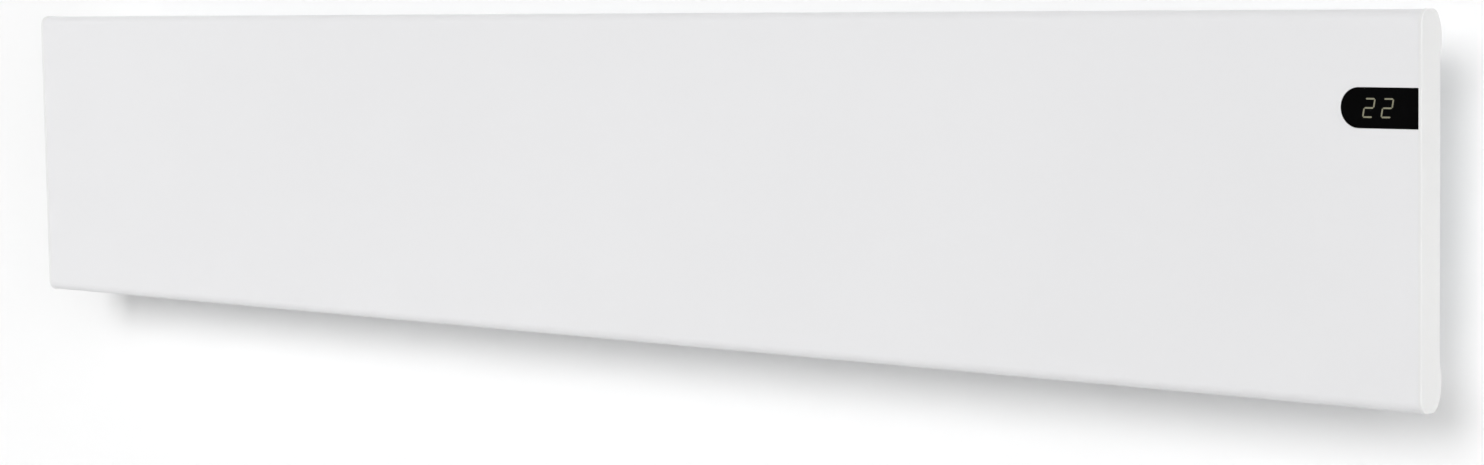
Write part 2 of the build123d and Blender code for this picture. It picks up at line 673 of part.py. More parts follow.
def upper_air_wall():
    """Z-shaped sheet between back plate and upper lip, with the row of air slots."""
    span = (-HOUSING_X, HOUSING_X)
    front = LIP_IN_Y - HOUSING_T
    wall = block(span, (BACK_IN_Y, front), (INSIDE_Z, HOUSING_Z))
    wall += block(span, (LIP_IN_Y, front), (HOUSING_Z, CURL_Z - LIP_GAP))
    wall += block(span, (BACK_IN_Y, BACK_IN_Y - HOUSING_T), (INSIDE_Z - EDGE_FLANGE, INSIDE_Z))
    wall -= along_z(air_slots(), (INSIDE_Z, HOUSING_Z))
    for x in lip_screw_places():
        wall -= rod_y(SCREW_R, x, (LIP_IN_Y, front), SCREW_LIP_Z)
    for x in edge_screw_places():
        wall -= rod_y(SCREW_R, x, (BACK_IN_Y, BACK_IN_Y - HOUSING_T), edge_screw_z())
    for x in (-BRACKET_SPACING / 2, BRACKET_SPACING / 2):
        # the catches reach in past the rear flange
        wall -= block(around(x, CATCH_SLOT_WIDTH), (BACK_IN_Y, BACK_IN_Y - HOUSING_T), CATCH_SLOT_Z)
    return wall


def inlet_grille():
    """The lower air wall, which also carries switch, gland and sensor."""
    wall = mirror(upper_air_wall(), about=Plane.XY)
    through = (-HOUSING_Z, -INSIDE_Z)
    wall -= block(around(SWITCH_X, SWITCH_LENGTH), around(UNDERSIDE_Y, SWITCH_WIDTH), through)
    wall -= rod_z(GLAND_BODY_R, GLAND_X, UNDERSIDE_Y, through)
    wall -= rod_z(GUARD_R - GUARD_WALL, SENSOR_X, UNDERSIDE_Y, through)
    return wall


def right_end_plate():
    """Side of the housing: inward flange on the back plate, outward flange on the end cap."""
    z = (-INSIDE_Z + FIT, INSIDE_Z - FIT)
    flange_y = LIP_Y - MOULD_T
    inner_x = HOUSING_X - HOUSING_T
    plate = block((inner_x, HOUSING_X), (BACK_IN_Y, flange_y - HOUSING_T), z)
    plate += block((inner_x, HOUSING_X + SIDE_FLANGE), (flange_y, flange_y - HOUSING_T), z)
    rear_z = INSIDE_Z - EDGE_FLANGE - FIT
    plate += block((inner_x - EDGE_FLANGE, inner_x), (BACK_IN_Y, BACK_IN_Y - HOUSING_T), (-rear_z, rear_z))
    for x, z in cap_screw_places():
        plate -= rod_y(SCREW_R, x, (flange_y, flange_y - HOUSING_T), z)
    for x, z in side_screw_places():
        plate -= rod_y(SCREW_R, x, (BACK_IN_Y, BACK_IN_Y - HOUSING_T), z)
    corner = INSIDE_Z - EDGE_FLANGE - FIT
    for z in ((corner, INSIDE_Z), (-INSIDE_Z, -corner)):
        # clears the rear flanges of the air walls
        plate -= block((inner_x, HOUSING_X), (BACK_IN_Y, BACK_IN_Y - HOUSING_T - FIT), z)
    return plate


def lip_screws():
    grip = PANEL_T + HOUSING_T + SCREW_GRIP
    return group([screw(x, LIP_Y, z, grip, 1) for z in (-SCREW_LIP_Z, SCREW_LIP_Z)
                  for x in lip_screw_places()])


def cap_screws():
    grip = MOULD_T + HOUSING_T + SCREW_GRIP
    right = [screw(x, LIP_Y, z, grip, 1) for x, z in cap_screw_places()]
    return group([copy for one in right for copy in both_sides(one)])


def back_screws():
    grip = 2 * HOUSING_T + SCREW_GRIP
    return group([screw(x, BACK_Y, z, grip, 1) for x, z in back_screw_places()])


def rating_plate():
    """Bare metal label on the back plate."""
    width, height, thickness = PLATE
    return block(around(0, width), (BACK_Y, BACK_Y + thickness), around(0, height))


# ---------------------------------------------------------------- heating elements
def element_spans():
    """X of the two element rods, without their terminal pins."""
    left = -HOUSING_X + HOUSING_T + ELEMENT_MARGIN
    right = PARTITION_X - ELEMENT_MARGIN
    middle = (left + right) / 2
    return [(left, middle - ELEMENT_GAP / 2), (middle + ELEMENT_GAP / 2, right)]


def element_fins(span):
    """Aluminium extrusion with four slanting fins, pressed on the rod."""
    profile = Circle(HUB_R)
    for side in (-1, 1):
        for lift in (-1, 1):
            angle = degrees(atan2(lift * sin(radians(FIN_ANGLE)), side * cos(radians(FIN_ANGLE))))
            arm = Pos(FIN_REACH / 2, 0) * Rectangle(FIN_REACH, FIN_T)
            arm += Pos(FIN_REACH, 0) * Circle(FIN_BEAD_R)
            profile += Rot(0, 0, angle) * arm
    profile -= Circle(ROD_R)
    place = Pos(ELEMENT_Y, ELEMENT_Z) * profile
    return along_x(place, (span[0] + ROD_OVERHANG, span[1] - ROD_OVERHANG))


def element_rod(span):
    """Sheathed heater rod with a terminal pin at each end."""
    rod = rod_x(ROD_R, span, ELEMENT_Y, ELEMENT_Z)
    return rod + rod_x(PIN_R, (span[0] - PIN_LENGTH, span[1] + PIN_LENGTH), ELEMENT_Y, ELEMENT_Z)


def support_places():
    """X of each support plate, and the side its foot points to."""
    places = []
    for low, high in element_spans():
        inset = ROD_OVERHANG / 2
        places += [(low + inset, 1), (high - inset, -1)]
    return places


def element_bushings():
    """Ceramic bushes between rods and supports, with a collar against each support."""
    bushes = []
    for x, side in support_places():
        collar = (x - side * SUPPORT_T / 2, x - side * (SUPPORT_T / 2 + BUSH_COLLAR_T))
        bush = rod_x(BUSH_R, around(x, BUSH_LENGTH), ELEMENT_Y, ELEMENT_Z)
        bush += rod_x(BUSH_COLLAR_R, (min(collar), max(collar)), ELEMENT_Y, ELEMENT_Z)
        bushes.append(bush - rod_x(ROD_R, around(x, 2 * BUSH_LENGTH), ELEMENT_Y, ELEMENT_Z))
    return group(bushes)


def support_foot_x(x, side):
    edge = x - side * SUPPORT_T / 2
    return (edge, edge + side * SUPPORT_FOOT)


def element_supports():
    """Angle brackets on the heat shield that carry the rods."""
    supports = []
    for x, side in support_places():
        z = around(ELEMENT_Z, SUPPORT_WIDTH)
        reach = ELEMENT_Y - BUSH_COLLAR_R - SUPPORT_T
        plate = block(around(x, SUPPORT_T), (SHIELD_Y, reach), z)
        plate += block(support_foot_x(x, side), (SHIELD_Y, SHIELD_Y - SUPPORT_T), z)
        plate -= rod_x(BUSH_R, around(x, 2 * SUPPORT_T), ELEMENT_Y, ELEMENT_Z)
        supports.append(plate)
    return group(supports)


def shield_span():
    (left, _), (_, right) = element_spans()
    return (left - SHIELD_OVERHANG, right + SHIELD_OVERHANG)


def heat_shield():
    """Bright sheet behind the elements, with edges turned back to the back plate."""
    low, high = shield_span()
    bottom, top = SHIELD_Z
    shield = block((low, high), (SHIELD_Y, SHIELD_Y + SHIELD_T), SHIELD_Z)
    for edge in ((bottom, bottom + SHIELD_T), (top - SHIELD_T, top)):
        shield += block((low, high), (SHIELD_Y, BACK_IN_Y), edge)
    return shield


def cutout_places():
    middle = (element_spans()[0][0] + element_spans()[1][1]) / 2
    return around(middle, CUTOUT_SPACING)


def thermal_cutouts():
    """Two bimetal discs on the shield above the elements, with flat terminals."""
    width, length, thickness = BLADE
    blade_y = SHIELD_Y - CUTOUT_T / 2
    discs = []
    for x in cutout_places():
        disc = rod_y(CUTOUT_R, x, (SHIELD_Y, SHIELD_Y - CUTOUT_T), CUTOUT_Z)
        disc += rod_y(CUTOUT_TOP_R, x, (SHIELD_Y, SHIELD_Y - CUTOUT_T - CUTOUT_TOP_T), CUTOUT_Z)
        for side in (-1, 1):
            start = x + side * (CUTOUT_R - BLADE_SINK)
            disc += block((start, start + side * length), around(blade_y, thickness), around(CUTOUT_Z, width))
        discs.append(disc)
    return group(discs)


def element_leads():
    """The pair in series: feed to the right rod, link between the rods, and the return that
    lies on the back plate behind the shield."""
    (left, inner_left), (inner_right, right) = element_spans()
    at_plate = BACK_IN_Y - LEAD_R
    bend = LEAD_BEND
    near_y = UNDERSIDE_Y + LEAD_R + LEAD_PAIR_GAP / 2
    far_y = UNDERSIDE_Y - LEAD_R - LEAD_PAIR_GAP / 2
    entry = PARTITION_X + GROMMET_COLLAR + PIN_LENGTH
    feed_x = right + PIN_LENGTH + 2 * bend
    feed = wire([(entry, far_y, GROMMET_Z), (feed_x, far_y, GROMMET_Z),
                 (feed_x, ELEMENT_Y, ELEMENT_Z), (right + PIN_LENGTH, ELEMENT_Y, ELEMENT_Z)],
                [bend, bend])
    link_from, link_to = inner_left + PIN_LENGTH, inner_right - PIN_LENGTH
    quarter = (link_to - link_from) / 4
    sag = ELEMENT_Z - bend
    link = wire([(link_from, ELEMENT_Y, ELEMENT_Z), (link_from + quarter, ELEMENT_Y, ELEMENT_Z),
                 (link_from + 2 * quarter, ELEMENT_Y, sag), (link_to - quarter, ELEMENT_Y, ELEMENT_Z),
                 (link_to, ELEMENT_Y, ELEMENT_Z)], [bend, bend, bend])
    low_z = sum(lug_rivet_places()) / 2
    shield_end = shield_span()[1]
    return_x = left - PIN_LENGTH - bend - LEAD_R
    back = wire([(entry, near_y, GROMMET_Z), (shield_end + 4 * bend, near_y, GROMMET_Z),
                 (shield_end + LEAD_R, at_plate, low_z), (return_x, at_plate, low_z),
                 (return_x, ELEMENT_Y, ELEMENT_Z), (left - PIN_LENGTH, ELEMENT_Y, ELEMENT_Z)],
                [bend, bend, bend, bend])
    return group([feed, link, back])


def partition_plate():
    """Sheet that keeps the warm air away from the control unit."""
    x = (PARTITION_X, PARTITION_X + HOUSING_T)
    z = (-INSIDE_Z + FIT, INSIDE_Z - FIT)
    plate = block(x, (BACK_IN_Y, PANEL_IN_Y + FIT), z)
    rear_z = INSIDE_Z - EDGE_FLANGE - FIT
    for corner in ((rear_z, INSIDE_Z), (-INSIDE_Z, -rear_z)):
        plate -= block(x, (BACK_IN_Y, BACK_IN_Y - HOUSING_T - FIT), corner)
    return plate - rod_x(GROMMET_R, x, UNDERSIDE_Y, GROMMET_Z)


def lead_grommet():
    """Rubber ring where the leads pass the partition."""
    middle = PARTITION_X + HOUSING_T / 2
    ring = rod_x(GROMMET_R, around(middle, HOUSING_T), UNDERSIDE_Y, GROMMET_Z)
    for side in (-1, 1):
        edge = middle + side * HOUSING_T / 2
        collar = sorted((edge, edge + side * GROMMET_COLLAR / 2))
        ring += rod_x(GROMMET_R + GROMMET_COLLAR, collar, UNDERSIDE_Y, GROMMET_Z)
    return ring - rod_x(GROMMET_BORE_R, around(middle, 4 * GROMMET_COLLAR), UNDERSIDE_Y, GROMMET_Z)


# ---------------------------------------------------------------- control unit
def boss_places():
    x = (TRAY_X[0] + BOSS_INSET, TRAY_X[1] - BOSS_INSET)
    z = (TRAY_LOW + BOSS_INSET, TRAY_HIGH - BOSS_INSET)
    return [(a, b) for a in x for b in z]


def control_tray():
    """Moulded tray on the back plate, with four bosses for the power board."""
    z = (TRAY_LOW, TRAY_HIGH)
    tray = block(TRAY_X, (BACK_IN_Y, TRAY_RIM_Y), z)
    tray -= block((TRAY_X[0] + MOULD_T, TRAY_X[1] - MOULD_T), (BACK_IN_Y - MOULD_T, TRAY_RIM_Y),
                  (z[0] + MOULD_T, z[1] - MOULD_T))
    for x, boss_z in boss_places():
        tray += rod_y(BOSS_R, x, (BACK_IN_Y - MOULD_T, BOARD_Y), boss_z)
        tray -= rod_y(SCREW_R, x, (BACK_IN_Y - MOULD_T, BOARD_Y), boss_z)
    for notch_x in (terminal_block_x(), around(sensor_notch_x(), 4 * LEAD_R)):
        tray -= block(notch_x, (BOARD_Y, TRAY_RIM_Y), (TRAY_LOW, TRAY_LOW + MOULD_T))
    return tray


def control_cover():
    """Lid over the power board, resting on the rim of the tray."""
    cover_y = (TRAY_RIM_Y, TRAY_RIM_Y - COVER_DEPTH)
    z = (TRAY_LOW, TRAY_HIGH)
    cover = block(TRAY_X, cover_y, z)
    cover = fillet(cover.faces().sort_by(Axis.Y)[0].edges(), MOULD_T)
    cover -= block((TRAY_X[0] + MOULD_T, TRAY_X[1] - MOULD_T), (cover_y[0], cover_y[1] + MOULD_T),
                   (z[0] + MOULD_T, z[1] - MOULD_T))
    cover -= block(terminal_block_x(), (cover_y[0], BOARD_FRONT_Y - TERMINAL_BLOCK[1]),
                   (TRAY_LOW, TRAY_LOW + MOULD_T))
    cable_y = (cover_y[0], cover_y[0] - 4 * DISPLAY_CABLE_R)
    cover -= block(cable_notch_x(), cable_y, (TRAY_HIGH - MOULD_T, TRAY_HIGH))
    return cover


def power_board():
    board = block(board_x(), (BOARD_Y, BOARD_FRONT_Y), board_z())
    for x, z in boss_places():
        board -= rod_y(SCREW_HOLE_R, x, (BOARD_Y, BOARD_FRONT_Y), z)
    return board


def board_screws():
    grip = BOARD_T + SCREW_GRIP
    return group([screw(x, BOARD_FRONT_Y, z, grip, -1) for x, z in boss_places()])


def board_x():
    return (TRAY_X[0] + BOARD_EDGE, TRAY_X[1] - BOARD_EDGE)


def board_z():
    return (TRAY_LOW + BOARD_EDGE, TRAY_HIGH - BOARD_EDGE)


def on_board(size, x, z):
    """A component block standing on the front of the power board."""
    body = block(around(x, size[0]), (BOARD_FRONT_Y, BOARD_FRONT_Y - size[1]), around(z, size[2]))
    outer = body.faces().sort_by(Axis.Y)[0].edges()
    return fillet(outer, COMPONENT_EDGE_R)


def relay():
    inward, down = RELAY_PLACE
    return on_board(RELAY, board_x()[0] + inward + RELAY[0] / 2, board_z()[1] - down - RELAY[2] / 2)


def power_supply():
    inward, up = POWER_SUPPLY_PLACE
    return on_board(POWER_SUPPLY, board_x()[0] + inward + POWER_SUPPLY[0] / 2, sum(board_z()) / 2 + up)


def filter_capacitor():
    inward, up = CAPACITOR_PLACE
    return on_board(CAPACITOR, board_x()[1] - inward - CAPACITOR[0] / 2, sum(board_z()) / 2 + up)


def terminal_block_x():
    right = board_x()[1] - TERMINAL_PLACE[0]
    return (right - TERMINAL_BLOCK[0], right)


def terminal_ways_x():
    low, high = terminal_block_x()
    pitch = (high - low) / TERMINAL_WAYS
    return [low + pitch * (i + 0.5) for i in range(TERMINAL_WAYS)]


def terminal_block_low():
    return board_z()[0] + TERMINAL_PLACE[1]


def wire_end():
    """Y and Z of the wire ends inside the terminal block."""
    return (BOARD_FRONT_Y - TERMINAL_ENTRY_Y, terminal_block_low() + TERMINAL_WIRE_Z)


def terminal_block():
    """Screw terminals for live, neutral and earth, with a wire entry below each screw."""
    low = terminal_block_low()
    face_y = BOARD_FRONT_Y - TERMINAL_BLOCK[1]
    body = block(terminal_block_x(), (BOARD_FRONT_Y, face_y), (low, low + TERMINAL_BLOCK[2]))
    for x in terminal_ways_x():
        body -= rod_z(LEAD_R + TERMINAL_GAP, x, wire_end()[0], (low, low + TERMINAL_ENTRY_Z))
        screw_y = (face_y, face_y + TERMINAL_SCREW_DEPTH)
        body -= rod_y(TERMINAL_SCREW_R, x, screw_y, low + TERMINAL_SCREW_Z)
    return body


def fuse():
    """Glass fuse in two clips at the left of the terminal block."""
    x = terminal_block_x()[0] - FUSE_LENGTH / 2 - FUSE_GAP
    y = BOARD_FRONT_Y - FUSE_R - FUSE_STANDOFF
    z = terminal_block_low() + TERMINAL_BLOCK[2] / 2
    cap_length, cap_t = FUSE_CAP
    clip_x, clip_z = FUSE_CLIP
    tube = rod_x(FUSE_R, around(x, FUSE_LENGTH), y, z)
    for side in (-1, 1):
        end = x + side * (FUSE_LENGTH - cap_length) / 2
        tube += rod_x(FUSE_R + cap_t, around(end, cap_length), y, z)
        tube += block(around(end, clip_x), (BOARD_FRONT_Y, y), around(z, clip_z))
    return tube


def cable_notch_x():
    """Where the display cable enters the cover, between two board screws."""
    return around((TRAY_X[0] + TRAY_X[1]) / 2 + DISPLAY_CABLE_SHIFT, 4 * DISPLAY_CABLE_R)


def display_cable():
    """Round lead from the back of the display board, into the cover, to the power board."""
    start_y = LED_BACK_Y + BOARD_T
    start_x = carrier_span_x()[0] + 3 * DISPLAY_BOARD_MARGIN
    entry_x = sum(cable_notch_x()) / 2
    entry_y = BOARD_FRONT_Y - 3 * DISPLAY_CABLE_R
    end_z = TRAY_HIGH - BOSS_INSET - 2 * SCREW_HEAD_R
    bend = DISPLAY_CABLE_BEND
    points = [(start_x, start_y, WINDOW_Z), (start_x, start_y + 2 * bend, WINDOW_Z),
              (entry_x, entry_y, TRAY_HIGH + DISPLAY_CABLE_RISE), (entry_x, entry_y, end_z),
              (entry_x, BOARD_FRONT_Y, end_z)]
    path = FilletPolyline(*points, radius=[bend, 2 * bend, bend / 2])
    start = Plane(origin=path @ 0, z_dir=path % 0)
    return sweep(start * Circle(DISPLAY_CABLE_R), path=path)


# ---------------------------------------------------------------- underside fittings
def rocker_axis_z():
    return -HOUSING_Z - SWITCH_BEZEL_T + SWITCH_WALL + ROCKER_CLEARANCE


def switch_blade_x(side):
    return SWITCH_X + side * SWITCH_BLADES / 2


def switch_body():
    """Snap-in switch housing with a pocket for the rocker, bezel below, terminals above."""
    x, y = around(SWITCH_X, SWITCH_LENGTH - FIT), around(UNDERSIDE_Y, SWITCH_WIDTH - FIT)
    top = -HOUSING_Z + SWITCH_DEPTH
    low = -HOUSING_Z - SWITCH_BEZEL_T
    body = block(x, y, (low, top))
    bezel_x = (x[0] - SWITCH_BEZEL, x[1] + SWITCH_BEZEL)
    bezel_y = (y[0] - SWITCH_BEZEL, y[1] + SWITCH_BEZEL)
    bezel = block(bezel_x, bezel_y, (low, -HOUSING_Z))
    body += fillet(bezel.faces().sort_by(Axis.Z)[0].edges(), SWITCH_BEZEL_R)
    body -= block((x[0] + SWITCH_WALL, x[1] - SWITCH_WALL), (y[0] + SWITCH_WALL, y[1] - SWITCH_WALL),
                  (low, -HOUSING_Z + SWITCH_POCKET))
    socket_y = (y[0] + ROCKER_SOCKET_WALL, y[1] - ROCKER_SOCKET_WALL)
    body -= rod_y(ROCKER_PIVOT_R + ROCKER_PIVOT_GAP, SWITCH_X, socket_y, rocker_axis_z())
    width, length, thickness = BLADE
    blade_z = (top, top + length)
    for side in (-1, 1):
        body += block(around(switch_blade_x(side), thickness), around(UNDERSIDE_Y, width), blade_z)
    return body


def power_rocker():
    """See-saw key on a pin along Y. At rest its right end is pressed in, which is off."""
    margin = FIT / 2 + SWITCH_WALL + ROCKER_CLEARANCE
    half = SWITCH_LENGTH / 2 - margin
    half_y = SWITCH_WIDTH / 2 - margin
    lean = half * tan(radians(ROCKER_THROW / 2))
    crown = -ROCKER_RISE
    keel_x, keel_z = ROCKER_KEEL
    outline = polygon([(-half, crown - lean), (0, crown), (half, crown - lean), (half, ROCKER_SHOULDER),
                       (keel_x, keel_z), (-keel_x, keel_z), (-half, ROCKER_SHOULDER)])
    key = extrude(Plane.XZ * outline, half_y, both=True)
    key += rod_y(ROCKER_PIVOT_R, 0, (-half_y - ROCKER_STUB, half_y + ROCKER_STUB), 0)
    place = Pos(SWITCH_X, UNDERSIDE_Y, rocker_axis_z())
    return place * Rot(0, -ROCKER_THROW / 2, 0) * key


def cable_gland():
    """Gland for the mains cord, with a flange below the housing and thread above."""
    low, high = -HOUSING_Z - GLAND_DROP, -HOUSING_Z + GLAND_INNER
    body = rod_z(GLAND_BODY_R, GLAND_X, UNDERSIDE_Y, (low, high))
    body = chamfer(body.faces().sort_by(Axis.Z)[0].edges(), GLAND_CHAMFER)
    body += rod_z(GLAND_FLANGE_R, GLAND_X, UNDERSIDE_Y, (-HOUSING_Z - GLAND_FLANGE_T, -HOUSING_Z))
    return body - rod_z(CORD_HOLE_R, GLAND_X, UNDERSIDE_Y, (low, high))


def gland_nut():
    hexagon = RegularPolygon(GLAND_FLANGE_R, 6) - Circle(GLAND_BODY_R)
    return Pos(GLAND_X, UNDERSIDE_Y, -INSIDE_Z) * extrude(hexagon, NUT_T)


def sensor_guard():
    """Slotted cup below the housing that shields the room sensor."""
    low = -HOUSING_Z - GUARD_DROP
    cup = rod_z(GUARD_R, SENSOR_X, UNDERSIDE_Y, (low, -HOUSING_Z))
    cup = fillet(cup.faces().sort_by(Axis.Z)[0].edges(), GUARD_WALL)
    cup += rod_z(GUARD_R + GUARD_RIM, SENSOR_X, UNDERSIDE_Y, (-HOUSING_Z - GUARD_WALL, -HOUSING_Z))
    cup -= rod_z(GUARD_R - GUARD_WALL, SENSOR_X, UNDERSIDE_Y, (low + GUARD_WALL, -HOUSING_Z))
    slot_z = (low + 2 * GUARD_WALL, -HOUSING_Z - 2 * GUARD_WALL)
    for angle in (0, 60, 120):
        cut = block(around(0, 4 * GUARD_R), around(0, GUARD_SLOT), slot_z)
        cup -= Pos(SENSOR_X, UNDERSIDE_Y, 0) * Rot(0, 0, angle) * cut
    return cup


def sensor_notch_x():
    """Where the sensor lead enters the tray, beside the lower right board screw."""
    return TRAY_X[1] - BOSS_INSET - SCREW_HEAD_R - 2 * LEAD_R - FIT


def room_sensor():
    """Sensor bead in the guard, on its lead up to the power board."""
    bead_low, bead_high = -HOUSING_Z - SENSOR_DROP, -HOUSING_Z + SENSOR_SEAT
    bead = rod_z(SENSOR_R, SENSOR_X, UNDERSIDE_Y, (bead_low, bead_high))
    collar = rod_z(GUARD_R - GUARD_WALL, SENSOR_X, UNDERSIDE_Y, (-HOUSING_Z, bead_high))
    rise_z = (bead_high + TRAY_LOW) / 2
    lead_x, lead_y = sensor_notch_x(), BOARD_FRONT_Y - LEAD_R
    lead = wire([(SENSOR_X, UNDERSIDE_Y, bead_high), (SENSOR_X, UNDERSIDE_Y, rise_z),
                 (lead_x, lead_y, TRAY_LOW - 3 * LEAD_R), (lead_x, lead_y, TRAY_LOW + 2 * BOARD_EDGE)],
                [SENSOR_LEAD_BEND, SENSOR_LEAD_BEND])
    return bead + collar + lead


def switch_leads():
    """Live wires from the terminal block to the two switch blades."""
    top = -HOUSING_Z + SWITCH_DEPTH + BLADE[1]
    entry_y, entry_z = wire_end()
    leads = []
    for side, x in zip((-1, 1), terminal_ways_x()):
        blade_x = switch_blade_x(side)
        jog_z = (top + TRAY_LOW - side * SWITCH_LEAD_JOG) / 2
        leads.append(wire([(blade_x, UNDERSIDE_Y, top), (blade_x, UNDERSIDE_Y, jog_z),
                           (x, entry_y, jog_z), (x, entry_y, entry_z)],
                          [SWITCH_LEAD_BEND, SWITCH_LEAD_BEND]))
    return group(leads)


def earth_place():
    return (SWITCH_X - EARTH_FROM_SWITCH, TRAY_LOW - EARTH_BELOW_TRAY)


def earth_layers():
    """Y of the faces between washer, lug and nut, and of the nut's outer face."""
    washer_y = BACK_IN_Y - EARTH_WASHER[1]
    lug_y = washer_y - EARTH_LUG[2]
    return (washer_y, lug_y, lug_y - EARTH_NUT[1])


def earth_stud():
    """Threaded stud on the back plate, with washer and nut."""
    x, z = earth_place()
    washer_y, lug_y, nut_y = earth_layers()
    stud = rod_y(EARTH_STUD_R, x, (BACK_IN_Y, BACK_IN_Y - EARTH_STUD_LENGTH), z)
    stud += rod_y(EARTH_WASHER[0], x, (BACK_IN_Y, washer_y), z)
    return stud + along_y(Pos(x, z) * RegularPolygon(EARTH_NUT[0], 6), (lug_y, nut_y))


def earth_lead():
    """Earth wire with a ring lug on the stud, up to the terminal block."""
    x, z = earth_place()
    washer_y, lug_y, _ = earth_layers()
    length, width, thickness = EARTH_LUG
    lug = rod_y(EARTH_NUT[0], x, (washer_y, lug_y), z)
    lug += block((x, x + length), (washer_y, lug_y), around(z, width))
    lug -= rod_y(EARTH_STUD_R, x, (washer_y, lug_y), z)
    way_x = terminal_ways_x()[2]
    entry_y, entry_z = wire_end()
    lead_y = washer_y - thickness / 2
    lead = wire([(x + EARTH_LEAD_START, lead_y, z), (way_x - EARTH_LEAD_RUN, lead_y, z),
                 (way_x, entry_y, z + EARTH_LEAD_RISE), (way_x, entry_y, entry_z)],
                [EARTH_LEAD_BEND, EARTH_LEAD_BEND])
    return lug + lead


# ---------------------------------------------------------------- hinge, catches and bracket
def heel_y():
    """Rear edge of the hook from the pivot, so that it stops on the bracket at full tilt."""
    stop = PIVOT_FROM_WALL - BRACKET_T - STOP_GAP
    return (stop - HOOK_DROP * sin(radians(TILT_MAX))) / cos(radians(TILT_MAX))


def right_hinge_lug():
    """Steel foot on the back plate with two hooked ears that hang over the pivot pin."""
    middle = BRACKET_SPACING / 2
    foot_low = PIVOT_Z - HOOK_DROP
    foot_y = BACK_Y + LUG_T
    lug = block(around(middle, LUG_WIDTH), (BACK_Y, foot_y), (foot_low, foot_low + LUG_HEIGHT))
    heel = PIVOT_Y + heel_y()
    ear = polygon([(foot_y, foot_low), (heel, foot_low), (heel, PIVOT_Z + HOOK_SLOPE),
                   (PIVOT_Y + HOOK_SLOPE, PIVOT_Z + HOOK_CROWN), (foot_y, PIVOT_Z + HOOK_ROOT)])
    hole = PIVOT_R + PIVOT_CLEARANCE
    ear -= Pos(PIVOT_Y, PIVOT_Z) * Circle(hole)
    ear -= polygon([(PIVOT_Y - hole, foot_low), (PIVOT_Y + hole, foot_low),
                    (PIVOT_Y + hole, PIVOT_Z), (PIVOT_Y - hole, PIVOT_Z)])
    for side in (-1, 1):
        edge = middle + side * LUG_WIDTH / 2
        lug += along_x(ear, sorted((edge, edge - side * LUG_T)))
    for z in lug_rivet_places():
        lug -= rod_y(RIVET_R, middle, (BACK_Y, foot_y), z)
    return lug


def lug_rivets():
    right = [rivet_y(BRACKET_SPACING / 2, (BACK_IN_Y, BACK_Y + LUG_T), z) for z in lug_rivet_places()]
    return group([copy for one in right for copy in both_sides(one)])


def rear_buffers():
    """Rubber buffers on the back plate that rest on the uprights."""
    tip = -BRACKET_T - STOP_GAP
    buffer = rod_y(BUFFER_R, BRACKET_SPACING / 2, (BACK_Y, tip), BUFFER_Z)
    buffer = fillet(buffer.faces().sort_by(Axis.Y)[-1].edges(), BUFFER_EDGE_R)
    return group(both_sides(buffer))


def right_upright():
    """Channel on the wall. Its side flanges reach out at the bottom to hold the pivot pin."""
    middle = BRACKET_SPACING / 2
    bottom = PIVOT_Z - ARM_DROP
    channel = block(around(middle, UPRIGHT_WIDTH), (-BRACKET_T, 0), (bottom, UPRIGHT_TOP))
    arm_y = PIVOT_Y - ARM_REACH
    arm_top = bottom + ARM_HEIGHT
    slope = UPRIGHT_FLANGE - arm_y
    flange = polygon([(0, bottom), (arm_y, bottom), (arm_y, arm_top),
                      (-UPRIGHT_FLANGE, arm_top + slope / 2), (-UPRIGHT_FLANGE, UPRIGHT_TOP),
                      (0, UPRIGHT_TOP)])
    flange -= Pos(PIVOT_Y, PIVOT_Z) * Circle(PIVOT_R)
    for side in (-1, 1):
        edge = middle + side * UPRIGHT_WIDTH / 2
        channel += along_x(flange, sorted((edge, edge - side * BRACKET_T)))
    for z in (-WALL_SCREW_Z, WALL_SCREW_Z):
        channel -= rod_y(WALL_HOLE_R, middle, (-BRACKET_T, 0), z)
    inner = middle - UPRIGHT_WIDTH / 2
    for z in (-RAIL_Z, RAIL_Z):
        channel -= rod_x(RIVET_R, (inner, inner + BRACKET_T), -UPRIGHT_FLANGE / 2, z)
    channel -= rod_y(RIVET_R, middle, (-BRACKET_T, 0), catch_rivet_z())
    return channel


def pivot_pins():
    """Headed pins across the arms of the uprights."""
    middle = BRACKET_SPACING / 2
    head_r, head_t = PIVOT_HEAD
    pin = rod_x(PIVOT_R, around(middle, UPRIGHT_WIDTH), PIVOT_Y, PIVOT_Z)
    for side in (-1, 1):
        edge = middle + side * UPRIGHT_WIDTH / 2
        pin += rod_x(head_r, sorted((edge, edge + side * head_t)), PIVOT_Y, PIVOT_Z)
    return group(both_sides(pin))


def rail(z):
    """Flat rail on the wall between the uprights, with a tab riveted to each."""
    end = BRACKET_SPACING / 2 - UPRIGHT_WIDTH / 2
    height = around(z, RAIL_HEIGHT)
    strip = block((-end, end), (-BRACKET_T, 0), height)
    for edge in (height[0], height[1] - BRACKET_T):
        strip += block((-end, end), (-UPRIGHT_FLANGE / 2, 0), (edge, edge + BRACKET_T))
    for side in (-1, 1):
        strip += block(sorted((side * end, side * (end - BRACKET_T))), (-UPRIGHT_FLANGE, 0), height)
        strip -= rod_x(RIVET_R, sorted((side * end, side * (end - BRACKET_T))), -UPRIGHT_FLANGE / 2, z)
    return strip


def catch_rivet_z():
    return CATCH_FOOT + RIVET_EDGE


def bracket_rivets():
    """Rivets that hold the rails to the uprights and the catches to the uprights."""
    inner = BRACKET_SPACING / 2 - UPRIGHT_WIDTH / 2
    rivets = []
    for z in (-RAIL_Z, RAIL_Z):
        rivets += both_sides(rivet_x((inner - BRACKET_T, inner + BRACKET_T), -UPRIGHT_FLANGE / 2, z))
    head = rod_y(RIVET_HEAD_R, BRACKET_SPACING / 2,
                 (-BRACKET_T - CATCH_T, -BRACKET_T - CATCH_T - RIVET_HEAD_T), catch_rivet_z())
    head += rod_y(RIVET_R, BRACKET_SPACING / 2, (0, -BRACKET_T - CATCH_T), catch_rivet_z())
    return group(rivets + both_sides(head))


